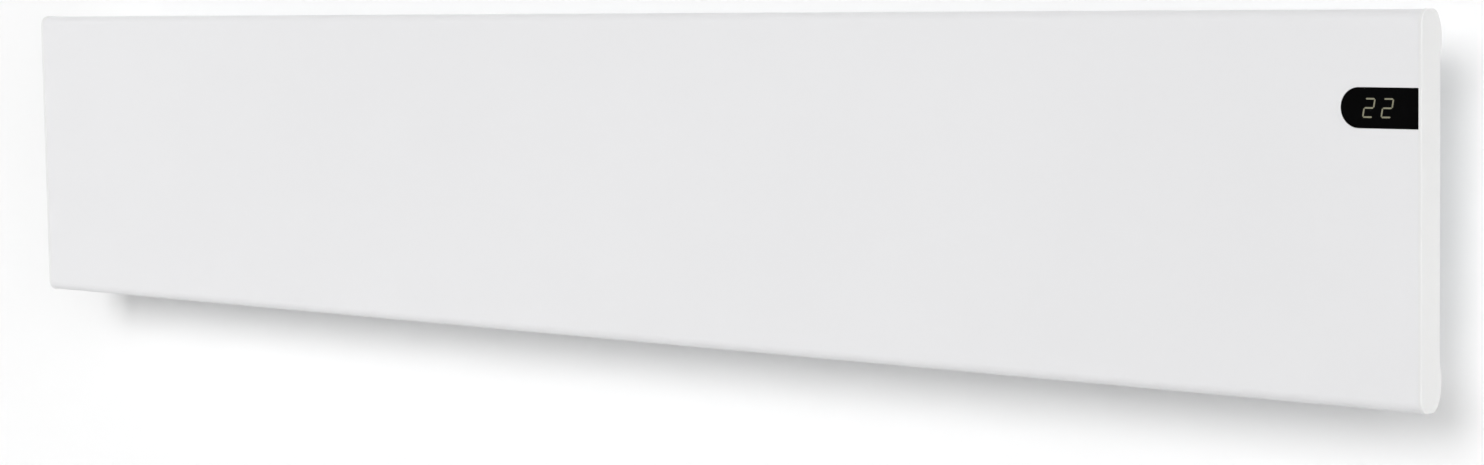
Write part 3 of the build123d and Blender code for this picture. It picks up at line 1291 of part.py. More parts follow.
def spring_catches():
    """Spring strips on the uprights whose barbed arms reach through the back plate."""
    leg_y = -BRACKET_T - CATCH_T
    tip_y = BACK_IN_Y - CATCH_REACH
    barb_y, barb_z = BACK_IN_Y - FIT, CATCH_LOW - CATCH_BARB
    profile = polygon([(-BRACKET_T, CATCH_FOOT), (-BRACKET_T, CATCH_TOP), (tip_y, CATCH_TOP),
                       (tip_y, CATCH_LOW), (barb_y - CATCH_FLAT, barb_z), (barb_y, barb_z),
                       (barb_y, CATCH_LOW), (leg_y, CATCH_LOW), (leg_y, CATCH_FOOT)])
    middle = BRACKET_SPACING / 2
    catch = along_x(profile, around(middle, CATCH_WIDTH))
    finger_y = (BACK_Y - BRACKET_T) / 2
    finger_z = (CATCH_TOP, CATCH_TOP + CATCH_FINGER)
    catch += block(around(middle, CATCH_WIDTH), around(finger_y, CATCH_T), finger_z)
    catch -= rod_y(RIVET_R, middle, (-BRACKET_T, leg_y), catch_rivet_z())
    return group(both_sides(catch))


# ---------------------------------------------------------------- the whole heater
def mirrored(shape):
    return mirror(shape, about=Plane.YZ)


LEFT_SPAN, RIGHT_SPAN = element_spans()
RIGHT_CAP = right_end_cap()
RIGHT_PLATE = right_end_plate()
RIGHT_LUG = right_hinge_lug()
RIGHT_UPRIGHT = right_upright()

PARTS = {
    "front_panel": front_panel(),
    "left_end_cap": mirrored(RIGHT_CAP),
    "right_end_cap": RIGHT_CAP,
    "back_plate": back_plate(),
    "outlet_grille": upper_air_wall(),
    "inlet_grille": inlet_grille(),
    "left_end_plate": mirrored(RIGHT_PLATE),
    "right_end_plate": RIGHT_PLATE,
    "lip_screws": lip_screws(),
    "cap_screws": cap_screws(),
    "back_screws": back_screws(),
    "rating_plate": rating_plate(),
    "display_window": display_window(),
    "lit_segments": group(segment_bars(LIT)),
    "dark_segments": group(segment_bars(DARK)),
    "led_module": led_module(),
    "display_carrier": display_carrier(),
    "display_board": display_board(),
    "display_screws": display_screws(),
    "display_cable": display_cable(),
    "left_element_fins": element_fins(LEFT_SPAN),
    "right_element_fins": element_fins(RIGHT_SPAN),
    "left_element_rod": element_rod(LEFT_SPAN),
    "right_element_rod": element_rod(RIGHT_SPAN),
    "element_bushings": element_bushings(),
    "element_supports": element_supports(),
    "heat_shield": heat_shield(),
    "thermal_cutouts": thermal_cutouts(),
    "element_leads": element_leads(),
    "partition_plate": partition_plate(),
    "lead_grommet": lead_grommet(),
    "control_tray": control_tray(),
    "control_cover": control_cover(),
    "power_board": power_board(),
    "board_screws": board_screws(),
    "relay": relay(),
    "power_supply": power_supply(),
    "filter_capacitor": filter_capacitor(),
    "terminal_block": terminal_block(),
    "fuse": fuse(),
    "switch_body": switch_body(),
    "power_rocker": power_rocker(),
    "switch_leads": switch_leads(),
    "cable_gland": cable_gland(),
    "gland_nut": gland_nut(),
    "sensor_guard": sensor_guard(),
    "room_sensor": room_sensor(),
    "earth_stud": earth_stud(),
    "earth_lead": earth_lead(),
    "left_hinge_lug": mirrored(RIGHT_LUG),
    "right_hinge_lug": RIGHT_LUG,
    "lug_rivets": lug_rivets(),
    "rear_buffers": rear_buffers(),
    "left_upright": mirrored(RIGHT_UPRIGHT),
    "right_upright": RIGHT_UPRIGHT,
    "upper_rail": rail(RAIL_Z),
    "lower_rail": rail(-RAIL_Z),
    "pivot_pins": pivot_pins(),
    "bracket_rivets": bracket_rivets(),
    "spring_catches": spring_catches(),
}

for name, shape in PARTS.items():
    export_step(shape, f"parts/{name}.step")
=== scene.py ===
import json
from math import asin, atan2, cos, pi, radians, sin, tan

import bmesh
import bpy
from mathutils import Matrix, Vector


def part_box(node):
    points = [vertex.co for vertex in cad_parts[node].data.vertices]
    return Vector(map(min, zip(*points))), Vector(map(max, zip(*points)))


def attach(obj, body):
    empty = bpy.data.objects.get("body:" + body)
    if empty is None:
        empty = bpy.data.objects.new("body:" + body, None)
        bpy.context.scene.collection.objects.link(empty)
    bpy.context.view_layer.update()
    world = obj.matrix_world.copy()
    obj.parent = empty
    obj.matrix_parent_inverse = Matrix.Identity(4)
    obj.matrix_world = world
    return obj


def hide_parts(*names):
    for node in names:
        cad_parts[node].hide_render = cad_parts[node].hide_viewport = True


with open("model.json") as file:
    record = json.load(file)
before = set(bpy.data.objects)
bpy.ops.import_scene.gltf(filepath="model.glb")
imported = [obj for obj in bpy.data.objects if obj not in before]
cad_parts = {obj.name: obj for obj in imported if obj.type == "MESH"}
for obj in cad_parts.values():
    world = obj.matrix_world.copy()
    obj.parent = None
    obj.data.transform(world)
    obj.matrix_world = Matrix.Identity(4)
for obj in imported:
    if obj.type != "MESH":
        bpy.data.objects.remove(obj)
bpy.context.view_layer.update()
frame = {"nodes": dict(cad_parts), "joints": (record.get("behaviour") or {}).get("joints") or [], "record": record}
NODES = frame["nodes"]
MM = 0.001

# ---------------------------------------------------------------- sizes of the shell, in metres
TRAY_DEPTH = 24.0 * MM         # front of the end caps to the rear of their curls
BEND_R = 8.0 * MM              # long front bends of the panel
CORNER_DEPTH = 11.0 * MM       # curled rear corners, along Y
CORNER_HEIGHT = 18.0 * MM      # curled rear corners, along Z
CORNER_SHARPNESS = 0.72        # tight radius of the curl, as a share of its depth
LIP_EDGE_Z = 99.0 * MM         # edges of the panel's rear lips, above and below the middle
PANEL_T = 1.0 * MM
CAP_PROUD = 0.4 * MM           # end caps stand proud of the panel
CAP_EDGE_R = 0.6 * MM          # rounded outer edge of an end cap
CAP_SEAM_R = 0.25 * MM         # softened inner edge of an end cap, along the seam
CAP_BEVEL = 4.5 * MM           # bevel at a cap's rear edge, along Y
CAP_BEVEL_T = 1.4 * MM         # and along X
BEVEL_FLATNESS = 0.6           # 1 is a flat bevel, 0 a round one
RELIEF_START = 4.0 * MM        # the bevel begins this far below the curl
RELIEF_FADE = 12.0 * MM        # and reaches its full width over this height
SEAM = 0.12 * MM               # open seam between panel and cap
WING_T = 2.0 * MM              # wing of an end cap, which closes the rear beside the housing
WING_EDGE_R = 0.5 * MM
WING_GAP = 0.3 * MM            # wing to the panel's lips
WINDOW_WIDTH = 55.4 * MM
WINDOW_HEIGHT = 25.5 * MM
WINDOW_DROP = 61.1 * MM        # top of the heater to the window's middle
WINDOW_FIT = 0.12 * MM
WINDOW_EDGE_R = 0.3 * MM
WINDOW_SINK = 0.03 * MM        # window behind the ends of its light bars
PUNCH_R = 0.25 * MM            # rounded edge of the punched opening

# ---------------------------------------------------------------- facets of the round forms
ARC_STEPS = 14                 # quarter turn of a bend
CAP_EDGE_STEPS = 6
BEVEL_STEPS = 3                # sections of a cap across its bevel
RELIEF_STEPS = 6
WING_EDGE_STEPS = 3
WINDOW_EDGE_STEPS = 5
PUNCH_STEPS = 4
RING_STEPS = 40                # full turn of the off mark
CREASE = radians(40)           # edges that turn more than this stay sharp

# ---------------------------------------------------------------- places, from the frame
cap_low, cap_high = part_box("right_end_cap")
panel_low, panel_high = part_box("front_panel")
window_low, window_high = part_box("display_window")
TOP_Z = cap_high.z
CAP_X = cap_high.x
END_X = panel_high.x
FRONT_Y = cap_low.y
PANEL_Y = panel_low.y
TRAY_BACK_Y = FRONT_Y + TRAY_DEPTH
CURL_Z = TOP_Z - CORNER_HEIGHT
WINDOW_Z = TOP_Z - WINDOW_DROP
WINDOW_TIP_X = END_X - WINDOW_WIDTH
WINDOW_RIM = (window_high.z - window_low.z - WINDOW_HEIGHT) / 2    # rim behind the sheet

# ---------------------------------------------------------------- rocker, about its own axis
rocker_joint = next(joint for joint in frame["joints"] if joint["name"] == "power_rocker")
ROCKER_AXIS = Vector(rocker_joint["pos_m"])
ROCKER_TURN = radians(rocker_joint["range_deg"][1] / 2)    # at rest it leans this far to one side
ROCKER_FACE = 4.4 * MM         # axis to the middle of the face
ROCKER_HALF = 7.9 * MM         # half length of the face
ROCKER_DISH = ROCKER_HALF * tan(ROCKER_TURN)               # the face's ends stand this much lower
MARK_LENGTH = 4.2 * MM
MARK_STROKE = 0.7 * MM
MARK_PROUD = 0.08 * MM
MARK_SINK = 0.1 * MM


# ---------------------------------------------------------------- mesh helpers
def arc(middle, radius, first, last, steps):
    """Points on an arc, from one angle to another."""
    angles = [first + (last - first) * i / steps for i in range(steps + 1)]
    return [(middle[0] + radius * cos(a), middle[1] + radius * sin(a)) for a in angles]


def rounded_edge(radius, steps):
    """Distances in from the side and in from the face, round an edge from the face to the side."""
    turns = [pi / 2 * i / steps for i in range(steps + 1)]
    return [(radius * (1 - sin(turn)), radius * (1 - cos(turn))) for turn in turns]


def upper_profile(inset):
    """Y and Z from the top of the flat front, over the top and down the curl to its end."""
    tight = CORNER_SHARPNESS * CORNER_DEPTH
    rise = CORNER_HEIGHT - tight
    wide = (CORNER_DEPTH**2 + rise**2 - tight**2) / (2 * (CORNER_DEPTH - tight))
    tight_middle = (TRAY_BACK_Y - CORNER_DEPTH, TOP_Z - tight)
    wide_middle = (TRAY_BACK_Y - wide, CURL_Z)
    turn = atan2(tight_middle[1] - wide_middle[1], tight_middle[0] - wide_middle[0])
    front_middle = (FRONT_Y + BEND_R, TOP_Z - BEND_R)
    points = arc(front_middle, BEND_R - inset, pi, pi / 2, ARC_STEPS)
    points += arc(tight_middle, tight - inset, pi / 2, turn, ARC_STEPS // 2)
    points += arc(wide_middle, wide - inset, turn, 0, ARC_STEPS)[1:]
    return points


def both_sides(upper):
    """The mirrored lower points and then the upper ones, as one outline from bottom to top."""
    return [(y, -z) for y, z in reversed(upper)] + upper


def ring(bm, x, outline):
    """Vertices of an outline in Y and Z, at x."""
    return [bm.verts.new((x, y, z)) for y, z in outline]


def bridge(bm, first, second, closed):
    """Quads between two rows of vertices of equal length."""
    count = len(first)
    for i in range(count if closed else count - 1):
        j = (i + 1) % count
        bm.faces.new((first[i], first[j], second[j], second[i]))


def into_scene(name, data):
    """A new object for a mesh, lamp or camera, placed in the scene."""
    placed = bpy.data.objects.new(name, data)
    bpy.context.scene.collection.objects.link(placed)
    return placed


def mesh_object(name, bm, material):
    """A piece from a bmesh, with outward normals, sharp creases and weighted shading."""
    bmesh.ops.recalc_face_normals(bm, faces=bm.faces)
    mesh = bpy.data.meshes.new(name)
    bm.to_mesh(mesh)
    bm.free()
    mesh.shade_smooth()
    mesh.set_sharp_from_angle(angle=CREASE)
    mesh.materials.append(material)
    piece = into_scene(name, mesh)
    weighted = piece.modifiers.new("weighted shading", "WEIGHTED_NORMAL")
    weighted.keep_sharp = True
    return piece


# ---------------------------------------------------------------- materials
def node_material(name, roughness, metallic=0.0, specular=0.5):
    """A principled material with object coordinates ready for its textures."""
    material = bpy.data.materials.new(name)
    material.use_nodes = True
    tree = material.node_tree
    shader = tree.nodes["Principled BSDF"]
    shader.inputs["Roughness"].default_value = roughness
    shader.inputs["Metallic"].default_value = metallic
    shader.inputs["Specular IOR Level"].default_value = specular
    place = tree.nodes.new("ShaderNodeTexCoord")
    return material, tree, shader, place.outputs["Object"]


def noise(tree, place, scale, detail, stretch=None):
    """Noise on object coordinates, stretched along an axis where asked."""
    if stretch is not None:
        mapping = tree.nodes.new("ShaderNodeMapping")
        mapping.inputs["Scale"].default_value = stretch
        tree.links.new(place, mapping.inputs["Vector"])
        place = mapping.outputs["Vector"]
    texture = tree.nodes.new("ShaderNodeTexNoise")
    texture.inputs["Scale"].default_value = scale
    texture.inputs["Detail"].default_value = detail
    tree.links.new(place, texture.inputs["Vector"])
    return texture.outputs["Fac"]


def spread_over(tree, factor, low, high):
    """A value from low to high, following a factor."""
    spread = tree.nodes.new("ShaderNodeMapRange")
    spread.inputs["To Min"].default_value = low
    spread.inputs["To Max"].default_value = high
    tree.links.new(factor, spread.inputs["Value"])
    return spread.outputs["Result"]


def colour_from(tree, shader, factor, low, high, ends=(0.3, 0.7)):
    """Base colour between two close tones, following a factor."""
    ramp = tree.nodes.new("ShaderNodeValToRGB")
    for stop, position, colour in zip(ramp.color_ramp.elements, ends, (low, high)):
        stop.position = position
        stop.color = (*colour, 1)
    tree.links.new(factor, ramp.inputs["Fac"])
    tree.links.new(ramp.outputs["Color"], shader.inputs["Base Color"])


def roughness_from(tree, shader, factor, low, high):
    """Roughness between two values, following a factor."""
    tree.links.new(spread_over(tree, factor, low, high), shader.inputs["Roughness"])


def bump_from(tree, shader, factor, depth):
    """Surface relief from a factor; depth is its height in metres."""
    bump = tree.nodes.new("ShaderNodeBump")
    bump.inputs["Distance"].default_value = depth
    tree.links.new(factor, bump.inputs["Height"])
    tree.links.new(bump.outputs["Normal"], shader.inputs["Normal"])


def tones(colour, spread):
    """Two tones round a colour, for a faint variation."""
    low = tuple(c * (1 - spread) for c in colour)
    high = tuple(min(1.0, c * (1 + spread)) for c in colour)
    return low, high


def painted(name, colour, roughness, grain, depth):
    """Fine satin surface: slight orange peel, with very slow changes of tone."""
    material, tree, shader, place = node_material(name, roughness)
    colour_from(tree, shader, noise(tree, place, scale=4.0, detail=2.0), *tones(colour, 0.008))
    patches = noise(tree, place, scale=60.0, detail=2.0)
    roughness_from(tree, shader, patches, roughness - 0.03, roughness + 0.03)
    bump_from(tree, shader, noise(tree, place, scale=grain, detail=2.0), depth)
    return material


def moulded(name, colour, roughness, grain=1800.0, depth=0.00002):
    """Moulded plastic with a fine eroded texture."""
    material, tree, shader, place = node_material(name, roughness)
    colour_from(tree, shader, noise(tree, place, scale=25.0, detail=3.0), *tones(colour, 0.02))
    patches = noise(tree, place, scale=140.0, detail=2.0)
    roughness_from(tree, shader, patches, roughness - 0.05, roughness + 0.05)
    bump_from(tree, shader, noise(tree, place, scale=grain, detail=1.0), depth)
    return material


def galvanised(name):
    """Zinc coated sheet with a soft spangle of crystal facets."""
    material, tree, shader, place = node_material(name, 0.4, metallic=1.0)
    cells = tree.nodes.new("ShaderNodeTexVoronoi")
    cells.inputs["Scale"].default_value = 130.0
    tree.links.new(place, cells.inputs["Vector"])
    spangle = tree.nodes.new("ShaderNodeSeparateColor")
    tree.links.new(cells.outputs["Color"], spangle.inputs["Color"])
    dull, bright = (0.53, 0.55, 0.57), (0.64, 0.66, 0.68)
    colour_from(tree, shader, spangle.outputs["Red"], dull, bright, ends=(0.0, 1.0))
    roughness_from(tree, shader, spangle.outputs["Green"], 0.32, 0.44)
    bump_from(tree, shader, noise(tree, place, scale=700.0, detail=2.0), 0.00001)
    return material


def bare_metal(name, colour, roughness, stretch=(1, 1, 1), spread=0.08):
    """Plain metal with fine drawn or rolled lines where stretched."""
    material, tree, shader, place = node_material(name, roughness, metallic=1.0)
    lines = noise(tree, place, scale=900.0, detail=3.0, stretch=stretch)
    colour_from(tree, shader, lines, *tones(colour, spread))
    patches = noise(tree, place, scale=120.0, detail=2.0)
    roughness_from(tree, shader, patches, roughness - 0.06, roughness + 0.08)
    bump_from(tree, shader, lines, 0.000008)
    return material


def gloss_black(name):
    """Polished black plastic with the faintest waviness."""
    material, tree, shader, place = node_material(name, 0.08, specular=0.012)
    deep, pale = (0.0009, 0.0009, 0.0010), (0.0014, 0.0014, 0.0016)
    colour_from(tree, shader, noise(tree, place, scale=30.0, detail=1.0), deep, pale)
    roughness_from(tree, shader, noise(tree, place, scale=300.0, detail=2.0), 0.06, 0.1)
    bump_from(tree, shader, noise(tree, place, scale=90.0, detail=1.0), 0.000003)
    return material


def light_bar(name, colour, strength):
    """Frosted light guide with a dim, finely grained glow."""
    material, tree, shader, place = node_material(name, 0.45)
    grain = noise(tree, place, scale=2500.0, detail=2.0)
    colour_from(tree, shader, grain, *tones(colour, 0.05))
    glow = spread_over(tree, grain, strength * 0.9, strength * 1.1)
    tree.links.new(glow, shader.inputs["Emission Strength"])
    shader.inputs["Emission Color"].default_value = (*colour, 1)
    return material


def circuit_board(name):
    """Green solder mask over faint copper tracks."""
    material, tree, shader, place = node_material(name, 0.32)
    tracks = tree.nodes.new("ShaderNodeTexBrick")
    tracks.inputs["Scale"].default_value = 160.0
    tracks.inputs["Color1"].default_value = (0.03, 0.16, 0.08, 1)
    tracks.inputs["Color2"].default_value = (0.04, 0.20, 0.10, 1)
    tracks.inputs["Mortar"].default_value = (0.06, 0.27, 0.13, 1)
    tree.links.new(place, tracks.inputs["Vector"])
    tree.links.new(tracks.outputs["Color"], shader.inputs["Base Color"])
    bump_from(tree, shader, tracks.outputs["Fac"], 0.00003)
    return material


SLOT_MATERIALS = {
    "white_steel": painted("white powder coat", (0.862, 0.862, 0.872), 0.42, 1500.0, 0.000012),
    "white_plastic": painted("white moulding", (0.868, 0.868, 0.863), 0.38, 2600.0, 0.000006),
    "galvanised": galvanised("galvanised sheet"),
    "white_bracket": painted("bracket powder coat", (0.84, 0.845, 0.85), 0.45, 1200.0, 0.000015),
    "zinc": bare_metal("zinc plate", (0.70, 0.70, 0.67), 0.32),
    "spring_steel": bare_metal("spring steel", (0.46, 0.46, 0.48), 0.34, (1, 1, 0.04)),
    "black_gloss": gloss_black("gloss black window"),
    "lit_bar": light_bar("lit light bar", (0.188, 0.180, 0.122), 0.25),
    "dark_bar": gloss_black("unlit light bar"),
    "black_plastic": moulded("black moulding", (0.028, 0.028, 0.03), 0.5),
    "grey_plastic": moulded("grey moulding", (0.33, 0.34, 0.35), 0.5),
    "board_green": circuit_board("circuit board"),
    "aluminium": bare_metal("extruded aluminium", (0.78, 0.79, 0.80), 0.36, (0.03, 1, 1)),
    "shield": bare_metal("aluminised sheet", (0.74, 0.75, 0.76), 0.24, (0.05, 1, 1), 0.04),
    "rod_steel": bare_metal("annealed sheath", (0.42, 0.39, 0.35), 0.42, (0.2, 1, 1), 0.15),
    "ceramic": moulded("unglazed ceramic", (0.86, 0.83, 0.76), 0.75, 900.0, 0.00003),
    "rubber_black": moulded("soft rubber", (0.022, 0.022, 0.023), 0.8, 1400.0, 0.00002),
    "wire_red": moulded("red insulation", (0.45, 0.04, 0.03), 0.45, 800.0, 0.00001),
    "wire_brown": moulded("brown insulation", (0.17, 0.075, 0.035), 0.45, 800.0, 0.00001),
    "wire_green": moulded("green insulation", (0.18, 0.40, 0.05), 0.45, 800.0, 0.00001),
    "wire_grey": moulded("grey insulation", (0.48, 0.48, 0.48), 0.45, 800.0, 0.00001),
    "blue_part": moulded("blue case", (0.04, 0.14, 0.40), 0.4),
    "yellow_part": moulded("yellow wrap", (0.72, 0.53, 0.07), 0.4),
    "terminal_green": moulded("terminal housing", (0.08, 0.38, 0.18), 0.42),
    "fuse_glass": bare_metal("fuse caps", (0.70, 0.70, 0.68), 0.25),
    "label_metal": bare_metal("bare foil plate", (0.76, 0.76, 0.77), 0.38, (0.04, 1, 1), 0.05),
}


def dress_nodes():
    """Gives every carried-over node the material of its slot."""
    for part in frame["record"]["subparts"]:
        node = NODES[part["node"]]
        node.data.materials.clear()
        node.data.materials.append(SLOT_MATERIALS[part["material_slot"]])


# ---------------------------------------------------------------- front panel
def window_row(bm, margin, y, right_x):
    """Vertices of the D shape grown by margin, at depth y, from its lower right end to the upper one."""
    radius = WINDOW_HEIGHT / 2
    half = radius + margin
    round_end = arc((WINDOW_TIP_X + radius, WINDOW_Z), half, 1.5 * pi, pi / 2, 2 * ARC_STEPS)
    points = [(right_x, WINDOW_Z - half), *round_end, (right_x, WINDOW_Z + half)]
    return [bm.verts.new((x, y, z)) for x, z in points]


def panel_ends(bm, inset, right_x):
    """Left and right end of one side of the sheet, from the lower lip's edge to the upper one's."""
    upper = upper_profile(inset)
    upper.append((upper[-1][0], LIP_EDGE_Z))
    outline = both_sides(upper)
    return ring(bm, -right_x, outline), ring(bm, right_x, outline)


def front_panel():
    """Bent sheet with an opening for the window, which runs out at its right end."""
    bm = bmesh.new()
    right_x = END_X - SEAM
    outer = panel_ends(bm, CAP_PROUD, right_x)
    inner = panel_ends(bm, CAP_PROUD + PANEL_T, right_x)
    strips = range(len(outer[0]) - 1)
    flat = len(outer[0]) // 2 - 1      # the strip that is the flat front

    punch = rounded_edge(PUNCH_R, PUNCH_STEPS)
    opening = [window_row(bm, margin, PANEL_Y + depth, right_x) for margin, depth in punch]
    opening.append(window_row(bm, 0, PANEL_Y + PANEL_T, right_x))
    for (left, right), notch in ((outer, opening[0]), (inner, opening[-1])):
        for i in strips:
            if i != flat:
                bm.faces.new((left[i], left[i + 1], right[i + 1], right[i]))
        bm.faces.new([left[flat], right[flat], *notch, right[flat + 1], left[flat + 1]])
    for first, second in zip(opening, opening[1:]):
        bridge(bm, first, second, closed=False)

    for front, back, cut in ((outer[0], inner[0], None), (outer[1], inner[1], flat)):
        for i in strips:
            if i != cut:
                bm.faces.new((front[i], back[i], back[i + 1], front[i + 1]))
    lower_end = [row[0] for row in opening]
    upper_end = [row[-1] for row in opening]
    bm.faces.new([outer[1][flat], *lower_end, inner[1][flat]])
    bm.faces.new([outer[1][flat + 1], *upper_end, inner[1][flat + 1]])
    for lip in (0, -1):
        bm.faces.new((outer[0][lip], outer[1][lip], inner[1][lip], inner[0][lip]))
    return mesh_object("panel_sheet", bm, SLOT_MATERIALS["white_steel"])


# ---------------------------------------------------------------- end caps
def cap_outline(inset, relief):
    """Closed outline of an end cap; relief draws its rear edge in between the two curls."""
    upper = upper_profile(inset)
    rear_y = upper[-1][0]
    for i in range(RELIEF_STEPS + 1):
        share = i / RELIEF_STEPS
        ease = share**2 * (3 - 2 * share)
        upper.append((rear_y - relief * ease, CURL_Z - RELIEF_START - RELIEF_FADE * share))
    return both_sides(upper)


def cap_bevel(x):
    """Width of the bevel at a cap's rear edge, along Y, for a section of the cap at x."""
    out = max(0.0, min(1.0, 1 - (CAP_X - x) / CAP_BEVEL_T))
    round_part = 1 - cos(asin(out))
    return CAP_BEVEL * (BEVEL_FLATNESS * out + (1 - BEVEL_FLATNESS) * round_part)


def cap_sections():
    """X and inset of a cap's sections, from the seam to its outer side."""
    sections = [(END_X, CAP_SEAM_R), (END_X + CAP_SEAM_R, 0.0)]
    bevel_run = CAP_BEVEL_T - CAP_EDGE_R
    for i in range(BEVEL_STEPS, 0, -1):
        sections.append((CAP_X - CAP_EDGE_R - bevel_run * i / BEVEL_STEPS, 0.0))
    sections += [(CAP_X - side, inset) for side, inset in rounded_edge(CAP_EDGE_R, CAP_EDGE_STEPS)]
    return sections


def add_wing(bm, side):
    """Plate behind the panel's end, with softened edges; side is 1 at the right and -1 at the left."""
    size = Vector((END_X - cap_low.x, WING_T, 2 * (LIP_EDGE_Z - WING_GAP)))
    wing_back_y = TRAY_BACK_Y - CAP_PROUD
    middle = Vector((side * (cap_low.x + END_X) / 2, wing_back_y - WING_T / 2, 0))
    corners = bmesh.ops.create_cube(bm, size=1.0)["verts"]
    for corner in corners:
        corner.co = corner.co * size + middle
    edges = list({edge for corner in corners for edge in corner.link_edges})
    bmesh.ops.bevel(bm, geom=edges, offset=WING_EDGE_R, segments=WING_EDGE_STEPS, affect="EDGES", profile=0.5)


def end_cap(name, side):
    """Moulded cap: side wall with rounded outer edge, and the wing that closes the rear."""
    bm = bmesh.new()
    rows = []
    for x, inset in cap_sections():
        rows.append(ring(bm, side * x, cap_outline(inset, cap_bevel(x) - inset)))
    for first, second in zip(rows, rows[1:]):
        bridge(bm, first, second, closed=True)
    bm.faces.new(rows[0])
    bm.faces.new(rows[-1])
    add_wing(bm, side)
    return mesh_object(name, bm, SLOT_MATERIALS["white_plastic"])


# ---------------------------------------------------------------- display window
def window_glass():
    """Black window with a rounded edge, flush in the panel, and its rim behind the sheet."""
    bm = bmesh.new()
    right_x = END_X - WINDOW_FIT
    front_y = PANEL_Y + WINDOW_SINK
    sheet_back_y = PANEL_Y + PANEL_T
    rows = []
    for side, depth in rounded_edge(WINDOW_EDGE_R, WINDOW_EDGE_STEPS):
        rows.append(window_row(bm, -WINDOW_FIT - side, front_y + depth, right_x))
    for margin, y in ((-WINDOW_FIT, sheet_back_y), (WINDOW_RIM, sheet_back_y), (WINDOW_RIM, window_high.y)):
        rows.append(window_row(bm, margin, y, right_x))
    for first, second in zip(rows, rows[1:]):
        bridge(bm, first, second, closed=True)
    bm.faces.new(rows[0])
    bm.faces.new(rows[-1])
    return mesh_object("window_glass", bm, SLOT_MATERIALS["black_gloss"])


# ---------------------------------------------------------------- marks of the switch
def raised_mark(name, outlines):
    """Thin mark on the rocker: a solid one has one closed outline, an open one an outer and an inner.

    Outlines are X and Y from the middle of the mark, in the plane of the rocker's face.
    """
    bm = bmesh.new()
    walls = []
    for outline in outlines:
        foot, head = [[bm.verts.new((x, y, z)) for x, y in outline] for z in (MARK_SINK, -MARK_PROUD)]
        bridge(bm, foot, head, closed=True)
        walls.append((foot, head))
    for rows in zip(*walls):
        if len(rows) == 2:
            bridge(bm, *rows, closed=True)
        else:
            bm.faces.new(rows[0])
    return mesh_object(name, bm, SLOT_MATERIALS["white_plastic"])


def rocker_marks():
    """On and off marks, each in the middle of its half of the rocker's face."""
    circle = arc((0, 0), MARK_LENGTH / 2, 0, 2 * pi, RING_STEPS)[:-1]
    hole = arc((0, 0), MARK_LENGTH / 2 - MARK_STROKE, 0, 2 * pi, RING_STEPS)[:-1]
    end_r = MARK_STROKE / 2
    reach = MARK_LENGTH / 2 - end_r
    bar = arc((0, reach), end_r, 0, pi, ARC_STEPS) + arc((0, -reach), end_r, pi, 2 * pi, ARC_STEPS)
    rest = Matrix.Rotation(-ROCKER_TURN, 4, "Y")
    for name, side, outlines in (("mark_on", -1, [bar]), ("mark_off", 1, [circle, hole])):
        piece = raised_mark(name, outlines)
        slope = Matrix.Rotation(side * atan2(ROCKER_DISH, ROCKER_HALF), 4, "Y")
        middle = Vector((side * ROCKER_HALF / 2, 0, -ROCKER_FACE - ROCKER_DISH / 2))
        piece.data.transform(Matrix.Translation(ROCKER_AXIS) @ rest @ Matrix.Translation(middle) @ slope)
        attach(piece, "rocker")


def build_shell():
    """Front panel, end caps and window, each in the place of its node."""
    made = (
        (front_panel(), "front_panel", "white_steel"),
        (end_cap("cap_right", 1), "right_end_cap", "white_plastic"),
        (end_cap("cap_left", -1), "left_end_cap", "white_plastic"),
        (window_glass(), "display_window", "black_gloss"),
    )
    for piece, node, slot in made:
        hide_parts(node)
        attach(piece, "heater")


# ---------------------------------------------------------------- stage
STAGE_HALF = 6.0
FLOOR_Z = -0.75
WALL_Y = 0.0006                # wall just behind the heater's rear plane
WALL_COLOUR = (0.97, 0.97, 0.97)
WALL_LIFT = 0.045              # share of white that the wall shows on top of its lit colour
FLOOR_COLOUR = (0.80, 0.80, 0.80)
FLOOR_LIFT = 0.20


def either(tree, first, second):
    """1 where one of two values is 1, or both."""
    larger = tree.nodes.new("ShaderNodeMath")
    larger.operation = "MAXIMUM"
    tree.links.new(first, larger.inputs[0])
    tree.links.new(second, larger.inputs[1])
    return larger.outputs["Value"]


def mixed(tree, factor, first, second):
    """The first shader where the factor is 0 and the second where it is 1."""
    mix = tree.nodes.new("ShaderNodeMixShader")
    tree.links.new(factor, mix.inputs["Fac"])
    tree.links.new(first, mix.inputs[1])
    tree.links.new(second, mix.inputs[2])
    return mix.outputs["Shader"]


def seen_rays(tree):
    """1 for rays from the camera, and for those that reach it in metal and glass."""
    rays = tree.nodes.new("ShaderNodeLightPath")
    value = rays.outputs["Is Camera Ray"]
    for kind in ("Is Glossy Ray", "Is Transmission Ray"):
        value = either(tree, value, rays.outputs[kind])
    return value


def one_sided(name, colour, added):
    """Backdrop seen and lit from its front only; added is the share of white on top of its own."""
    material = bpy.data.materials.new(name)
    material.use_nodes = True
    tree = material.node_tree
    tree.nodes.clear()
    paint = tree.nodes.new("ShaderNodeBsdfDiffuse")
    paint.inputs["Color"].default_value = (*colour, 1)
    lift = tree.nodes.new("ShaderNodeEmission")
    tree.links.new(spread_over(tree, seen_rays(tree), 0.0, added), lift.inputs["Strength"])
    face = tree.nodes.new("ShaderNodeAddShader")
    tree.links.new(paint.outputs["BSDF"], face.inputs[0])
    tree.links.new(lift.outputs["Emission"], face.inputs[1])
    clear = tree.nodes.new("ShaderNodeBsdfTransparent")
    sides = tree.nodes.new("ShaderNodeNewGeometry")
    rays = tree.nodes.new("ShaderNodeLightPath")
    unseen = either(tree, sides.outputs["Backfacing"], rays.outputs["Is Shadow Ray"])
    out = tree.nodes.new("ShaderNodeOutputMaterial")
    surface = mixed(tree, unseen, face.outputs["Shader"], clear.outputs["BSDF"])
    tree.links.new(surface, out.inputs["Surface"])
    return material


